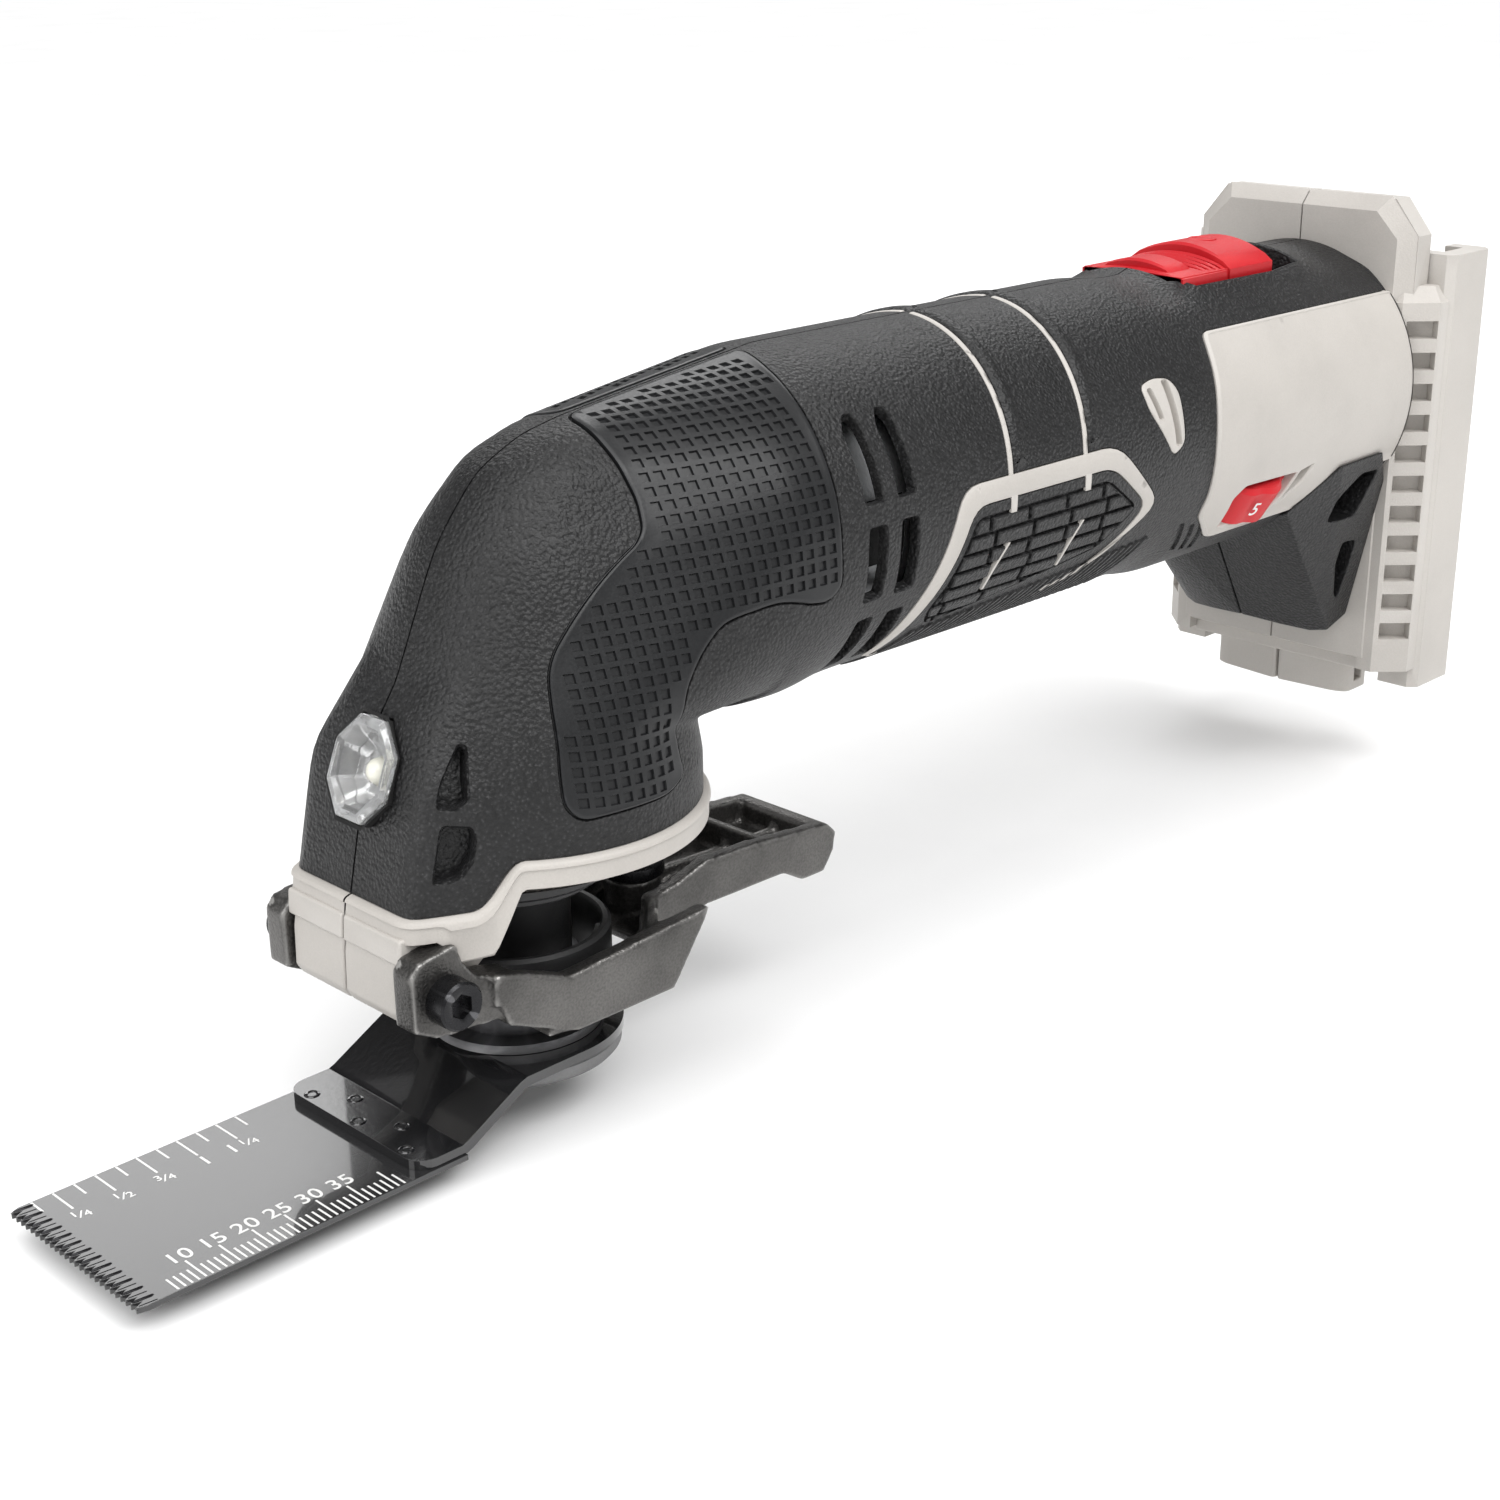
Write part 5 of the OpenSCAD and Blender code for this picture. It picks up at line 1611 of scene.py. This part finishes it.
def build_ruler():
    """Millimetre ticks on the left edge and eighths of an inch on the right edge."""
    half = BLADE_HIGH[1] - 0.25
    tip = BLADE_HIGH[0]
    parts = []
    for k in range(6, 42):
        long = 5.0 if k % 5 == 0 and k >= 10 else 3.0
        parts.append(mark(tip - k, half - long, half, 0.3))
    inch = 25.4
    for k in range(1, 12):
        long = 5.4 if k % 2 == 0 else 3.2
        parts.append(mark(tip - k * inch / 8, -half, -half + long, 0.32))
    v, f = joined(parts)
    mesh("ruler_ticks", v, f, "print_white", "clamp_body")
    for number in (10, 15, 20, 25, 30, 35):
        digits(f"mm_{number}", str(number), (tip - number, half - 6.4), 2.7, 180.0)
    for k, top, low in ((2, "1", "4"), (4, "1", "2"), (6, "3", "4"), (10, "1", "4")):
        x = tip - k * inch / 8
        y = -half + 7.4
        if k == 10:
            digits("inch_whole", "1", (x + 2.0, y), 2.6, 180.0)
            x -= 0.6
        digits(f"inch_top_{k}", top, (x + 0.75, y - 0.55), 1.5, 180.0)
        digits(f"inch_low_{k}", low, (x - 0.85, y + 0.35), 1.5, 180.0)
        z = BLADE_HIGH[2]
        slash = prism([(x - 0.65, y - 0.85), (x - 0.4, y - 0.85), (x + 0.6, y + 0.75),
                       (x + 0.35, y + 0.75)], z, z + 0.03, "z")
        mesh(f"inch_bar_{k}", *slash, "print_white", "clamp_body")
    digits("inch_one", "1", (tip - inch, -half + 7.4), 2.6, 180.0)


def digits(name, text, place, size, turn):
    """Plain numerals printed on the blade."""
    spot = Vector((place[0], place[1], BLADE_HIGH[2] + 0.02)) * MM
    at = Matrix.Translation(spot) @ Matrix.Rotation(math.radians(turn), 4, "Z")
    return numeral(name, text, at, size * 1.35, "clamp_body")


def numeral(name, text, at, size, body):
    """White numerals in the built-in plain typeface, turned into a mesh."""
    curve = bpy.data.curves.new(name, "FONT")
    curve.body = text
    curve.size = size * MM
    curve.align_x = "CENTER"
    curve.align_y = "CENTER"
    curve.extrude = 0.015 * MM
    curve.offset = 0.028 * MM
    curve.space_character = 1.08
    holder = bpy.data.objects.new(name + "_curve", curve)
    bpy.context.scene.collection.objects.link(holder)
    data = bpy.data.meshes.new_from_object(
        holder.evaluated_get(bpy.context.evaluated_depsgraph_get()))
    data.transform(at)
    bpy.data.objects.remove(holder)
    data.materials.clear()
    data.materials.append(MATS["print_white"])
    piece = bpy.data.objects.new(name, data)
    bpy.context.scene.collection.objects.link(piece)
    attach(piece, body)
    return piece


def build_holder():
    """The textured clamp washer under the arm, with its stepped rim."""
    r = HOLDER_HIGH[1]
    low = HOLDER_LOW[2]
    prof = [(0.0, low), (7.0, low), (7.6, low + 0.5), (10.6, low + 0.5), (11.2, low + 0.1),
            (13.6, low + 1.2), (14.9, low + 2.0), (r, low + 2.6), (r, -0.5),
            (r - 0.4, -0.12), (0.0, -0.12)]
    v, f = lathe(prof, Matrix.Identity(4), 96)
    v = [(min(x, 10.8 + max(0.0, -z) * 1.85) if x > 10 else x, y, z) for x, y, z in v]
    mesh("clamp_washer", v, f, "sintered_steel", "clamp_body", ("accessory_holder",))


# ---------- controls ----------

def build_switch():
    """The sliding switch: a low front block, four curved ribs and a high ringed block."""
    x_rear, x_front = SLIDER_LOW[0], SLIDER_HIGH[0]
    half = SLIDER_HIGH[1] - 0.4
    base_z = 93.0

    def crown(x0, x1, lift, width):
        """A block with an arched top, from x0 to x1."""
        n = 14
        rows = []
        for x, drop in ((x0, 1.0), (x0 - 0.5 * (1 if x0 > x1 else -1), 0.0),
                        (x1 + 0.5 * (1 if x0 > x1 else -1), 0.0), (x1, 1.0)):
            row = []
            for y in np.linspace(-width, width, n):
                arch = 1.0 - (y / (width + 3.0)) ** 2 * 1.35
                edge = smooth_step(width - abs(y), 0.0, 0.9)
                z = base_z + (lift - 0.45 * drop) * arch * (0.35 + 0.65 * float(edge))
                row.append((x, y, z))
            rows.append(row)
        verts = [p for row in rows for p in row]
        m = len(rows)
        faces = quads(m, n, closed=False)
        floor = [(x, y, base_z - 2.6) for x in (x0, x1) for y in (-width, width)]
        first = len(verts)
        verts += floor
        faces += [[0 * n + k for k in range(n)][::-1] + [first, first + 1],
                  [(m - 1) * n + k for k in range(n)] + [first + 3, first + 2],
                  [r * n for r in range(m)] + [first + 2, first],
                  [first + 1, first + 3] + [r * n + n - 1 for r in range(m)][::-1]]
        return verts, faces

    parts = [crown(x_front, x_front - 13.2, 1.0, half),
             crown(x_front - 1.2, x_front - 7.6, 2.5, half - 3.4),
             crown(x_front - 14.2, x_rear, 3.9, half)]
    for k in range(4):
        x = x_front - 8.4 - 1.55 * k
        parts.append(crown(x, x - 1.05, 1.75 + 0.22 * k, half - 0.6))
    flank = half - 0.4
    parts.append(prism([(x_front, -flank), (x_rear, -flank), (x_rear, flank),
                        (x_front, flank)], 89.4, base_z + 0.3, "z"))
    v, f = joined(parts)
    body = mesh("slide_switch", v, f, "red_plastic", "switch_body", ("switch_slider",),
                sharp=30.0)
    bevel(body, 0.22, 2, 28.0)
    ring = [(1.7, 0.0), (1.7, 0.42), (1.95, 0.55), (2.35, 0.55), (2.6, 0.42), (2.6, 0.0)]
    at = Matrix.Translation((x_rear + 6.6, 0.0, base_z + 3.45))
    v, f = lathe(ring, at, 40)
    mesh("switch_ring", v, f, "red_plastic", "switch_body")


def build_dial():
    """The speed wheel: scalloped facets with a printed number."""
    node_low, node_high = box_mm("speed_dial")
    center = (node_low + node_high) / 2
    tilt = Matrix.Rotation(math.radians(-32), 4, "X")
    place = Matrix.Translation(center) @ tilt
    verts, faces = [], []
    n = 72
    levels = [(-4.2, 9.6), (-4.2, 11.2), (-3.6, 12.0), (3.2, 12.0), (4.0, 11.2),
              (4.0, 9.6)]
    for h, r in levels:
        for k in range(n):
            a = 2 * math.pi * k / n
            facet = r - 0.62 * (0.5 + 0.5 * math.cos(9 * a)) ** 2
            verts.append(tuple(place @ Vector((facet * math.cos(a), facet * math.sin(a),
                                               h))))
    faces = quads(len(levels), n)
    faces += [list(range(n - 1, -1, -1)),
              [(len(levels) - 1) * n + k for k in range(n)]]
    mesh("speed_wheel", verts, faces, "red_plastic", "dial_body", ("speed_dial",),
         sharp=24.0)
    turn = math.radians(79)
    out = (place.to_3x3() @ Vector((math.cos(turn), math.sin(turn), 0.0))).normalized()
    right = (Vector((-1.0, 0.0, 0.0)) - out * -out.x).normalized()
    frame_of = Matrix((right, out.cross(right), out)).transposed().to_4x4()
    spot = place.translation + out * 12.03
    numeral("speed_number", "5", Matrix.Translation(spot * MM) @ frame_of, 4.1, "dial_body")


# ---------- carried-over CAD nodes ----------

def paint_frame():
    """Every CAD node takes the procedural finish of its material slot in the record."""
    slots = {p["node"]: p["material_slot"] for p in frame["record"]["subparts"]}
    for name, node in frame["nodes"].items():
        node.data.materials.clear()
        node.data.materials.append(MATS[slots[name]])


# ---------- stage ----------

def panel(name, center, target, width, height, power):
    """A soft box that the camera doesn't see, but that glossy parts reflect."""
    light = bpy.data.lights.new(name, "AREA")
    light.shape = "RECTANGLE"
    light.size = width
    light.size_y = height
    light.energy = power
    lamp = bpy.data.objects.new(name, light)
    lamp.location = center
    lamp.rotation_euler = (Vector(target) - Vector(center)).to_track_quat(
        "-Z", "Y").to_euler()
    lamp.visible_camera = False
    bpy.context.scene.collection.objects.link(lamp)
    return lamp


def flag():
    """A dark card behind the tool, so that glossy black parts have something to reflect."""
    data = bpy.data.meshes.new("flag")
    data.from_pydata([(-3.2, 0.6, 0.35), (0.6, -3.2, 0.35), (0.6, -3.2, 2.6),
                      (-3.2, 0.6, 2.6)], [], [[0, 1, 2, 3]])
    data.materials.append(MATS["seam_shadow"])
    card = bpy.data.objects.new("flag", data)
    card.visible_camera = False
    card.visible_shadow = False
    card.visible_diffuse = False
    bpy.context.scene.collection.objects.link(card)


def floor_material():
    """Pale matt paper with a faint fibre."""
    mat, nodes, links, shader = node_tree("floor_paper")
    place = nodes.new("ShaderNodeTexCoord").outputs["Object"]
    fibre = add(nodes, "ShaderNodeTexNoise", Scale=14.0, Detail=5.0)
    links.new(place, fibre.inputs["Vector"])
    tint = ramp(nodes, links, fibre.outputs["Fac"],
                [(0.3, (0.86, 0.86, 0.86)), (0.7, (0.90, 0.90, 0.90))])
    links.new(tint, shader.inputs["Base Color"])
    shader.inputs["Roughness"].default_value = 0.9
    shader.inputs["Specular IOR Level"].default_value = 0.0
    return mat


def build_stage():
    """The pale floor, the white surround and the soft studio lights."""
    low, high = bounds_before
    mid = (low + high) / 2
    data = bpy.data.meshes.new("floor")
    reach = 14.0
    z = low.z - 0.0034              # clear of the holder when the lever lowers it
    data.from_pydata([(-reach, -reach, z), (reach, -reach, z), (reach, reach, z),
                      (-reach, reach, z)], [], [[0, 1, 2, 3]])
    data.materials.append(floor_material())
    floor = bpy.data.objects.new("floor", data)
    bpy.context.scene.collection.objects.link(floor)
    world = bpy.data.worlds.new("studio")
    world.use_nodes = True
    back = world.node_tree.nodes["Background"]
    back.inputs["Color"].default_value = (1.0, 1.0, 1.0, 1.0)
    back.inputs["Strength"].default_value = 0.42
    bpy.context.scene.world = world
    sun = bpy.data.lights.new("sky", "SUN")
    sun.energy = 2.45
    sun.angle = math.radians(70)
    high_sun = bpy.data.objects.new("sky", sun)
    high_sun.rotation_euler = (math.radians(-18), math.radians(14), 0.0)
    bpy.context.scene.collection.objects.link(high_sun)
    panel("key", mid + Vector((-0.10, 0.70, 0.80)), mid, 0.5, 0.5, 4.2)
    panel("front", mid + Vector((0.90, -0.05, 0.35)), mid, 0.4, 0.5, 2.5)
    panel("rim", mid + Vector((-0.75, -0.55, 0.75)), mid, 0.8, 0.4, 4.0)
    glow = Vector((-0.3455, -0.8545, 0.56))
    panel("blade_reflection", glow, glow + Vector((1.0, 1.0, 0.0)), 0.32, 0.28, 0.72)
    flag()
    bpy.context.scene.view_settings.view_transform = "Standard"


def build_camera():
    """The viewpoint: above, in front and to the left of the tool."""
    camera = bpy.data.cameras.new("camera")
    camera.lens = 55.2
    camera.sensor_width = 36.0
    camera.clip_start = 0.01
    camera.clip_end = 100.0
    eye = bpy.data.objects.new("camera", camera)
    right = Vector((-0.70706, 0.70709, -0.00956))
    up = Vector((-0.25484, -0.24218, 0.93617))
    back = Vector((0.65963, 0.66437, 0.35143))
    turn = Matrix((right, up, back)).transposed().to_4x4()
    eye.matrix_world = Matrix.Translation((0.18970, 0.24049, 0.15705)) @ turn
    bpy.context.scene.collection.objects.link(eye)
    bpy.context.scene.camera = eye


def main():
    """Builds every piece, then the stage and the camera."""
    paint_frame()
    for side in (1, -1):
        build_skin(side)
        build_ribs(side)
        build_shell(side)
        build_label(side)
        build_tread(side)
        build_pad(side)
        build_collar(side)
        build_battery_plate(side)
        build_boot(side)
    build_seam()
    build_liner()
    build_foot()
    build_lug()
    build_lens()
    build_lever()
    build_pivots()
    build_release_cup()
    build_lever_spring()
    build_arm()
    build_rivets()
    build_blade()
    build_holder()
    build_switch()
    build_dial()
    build_stage()
    build_camera()


main()
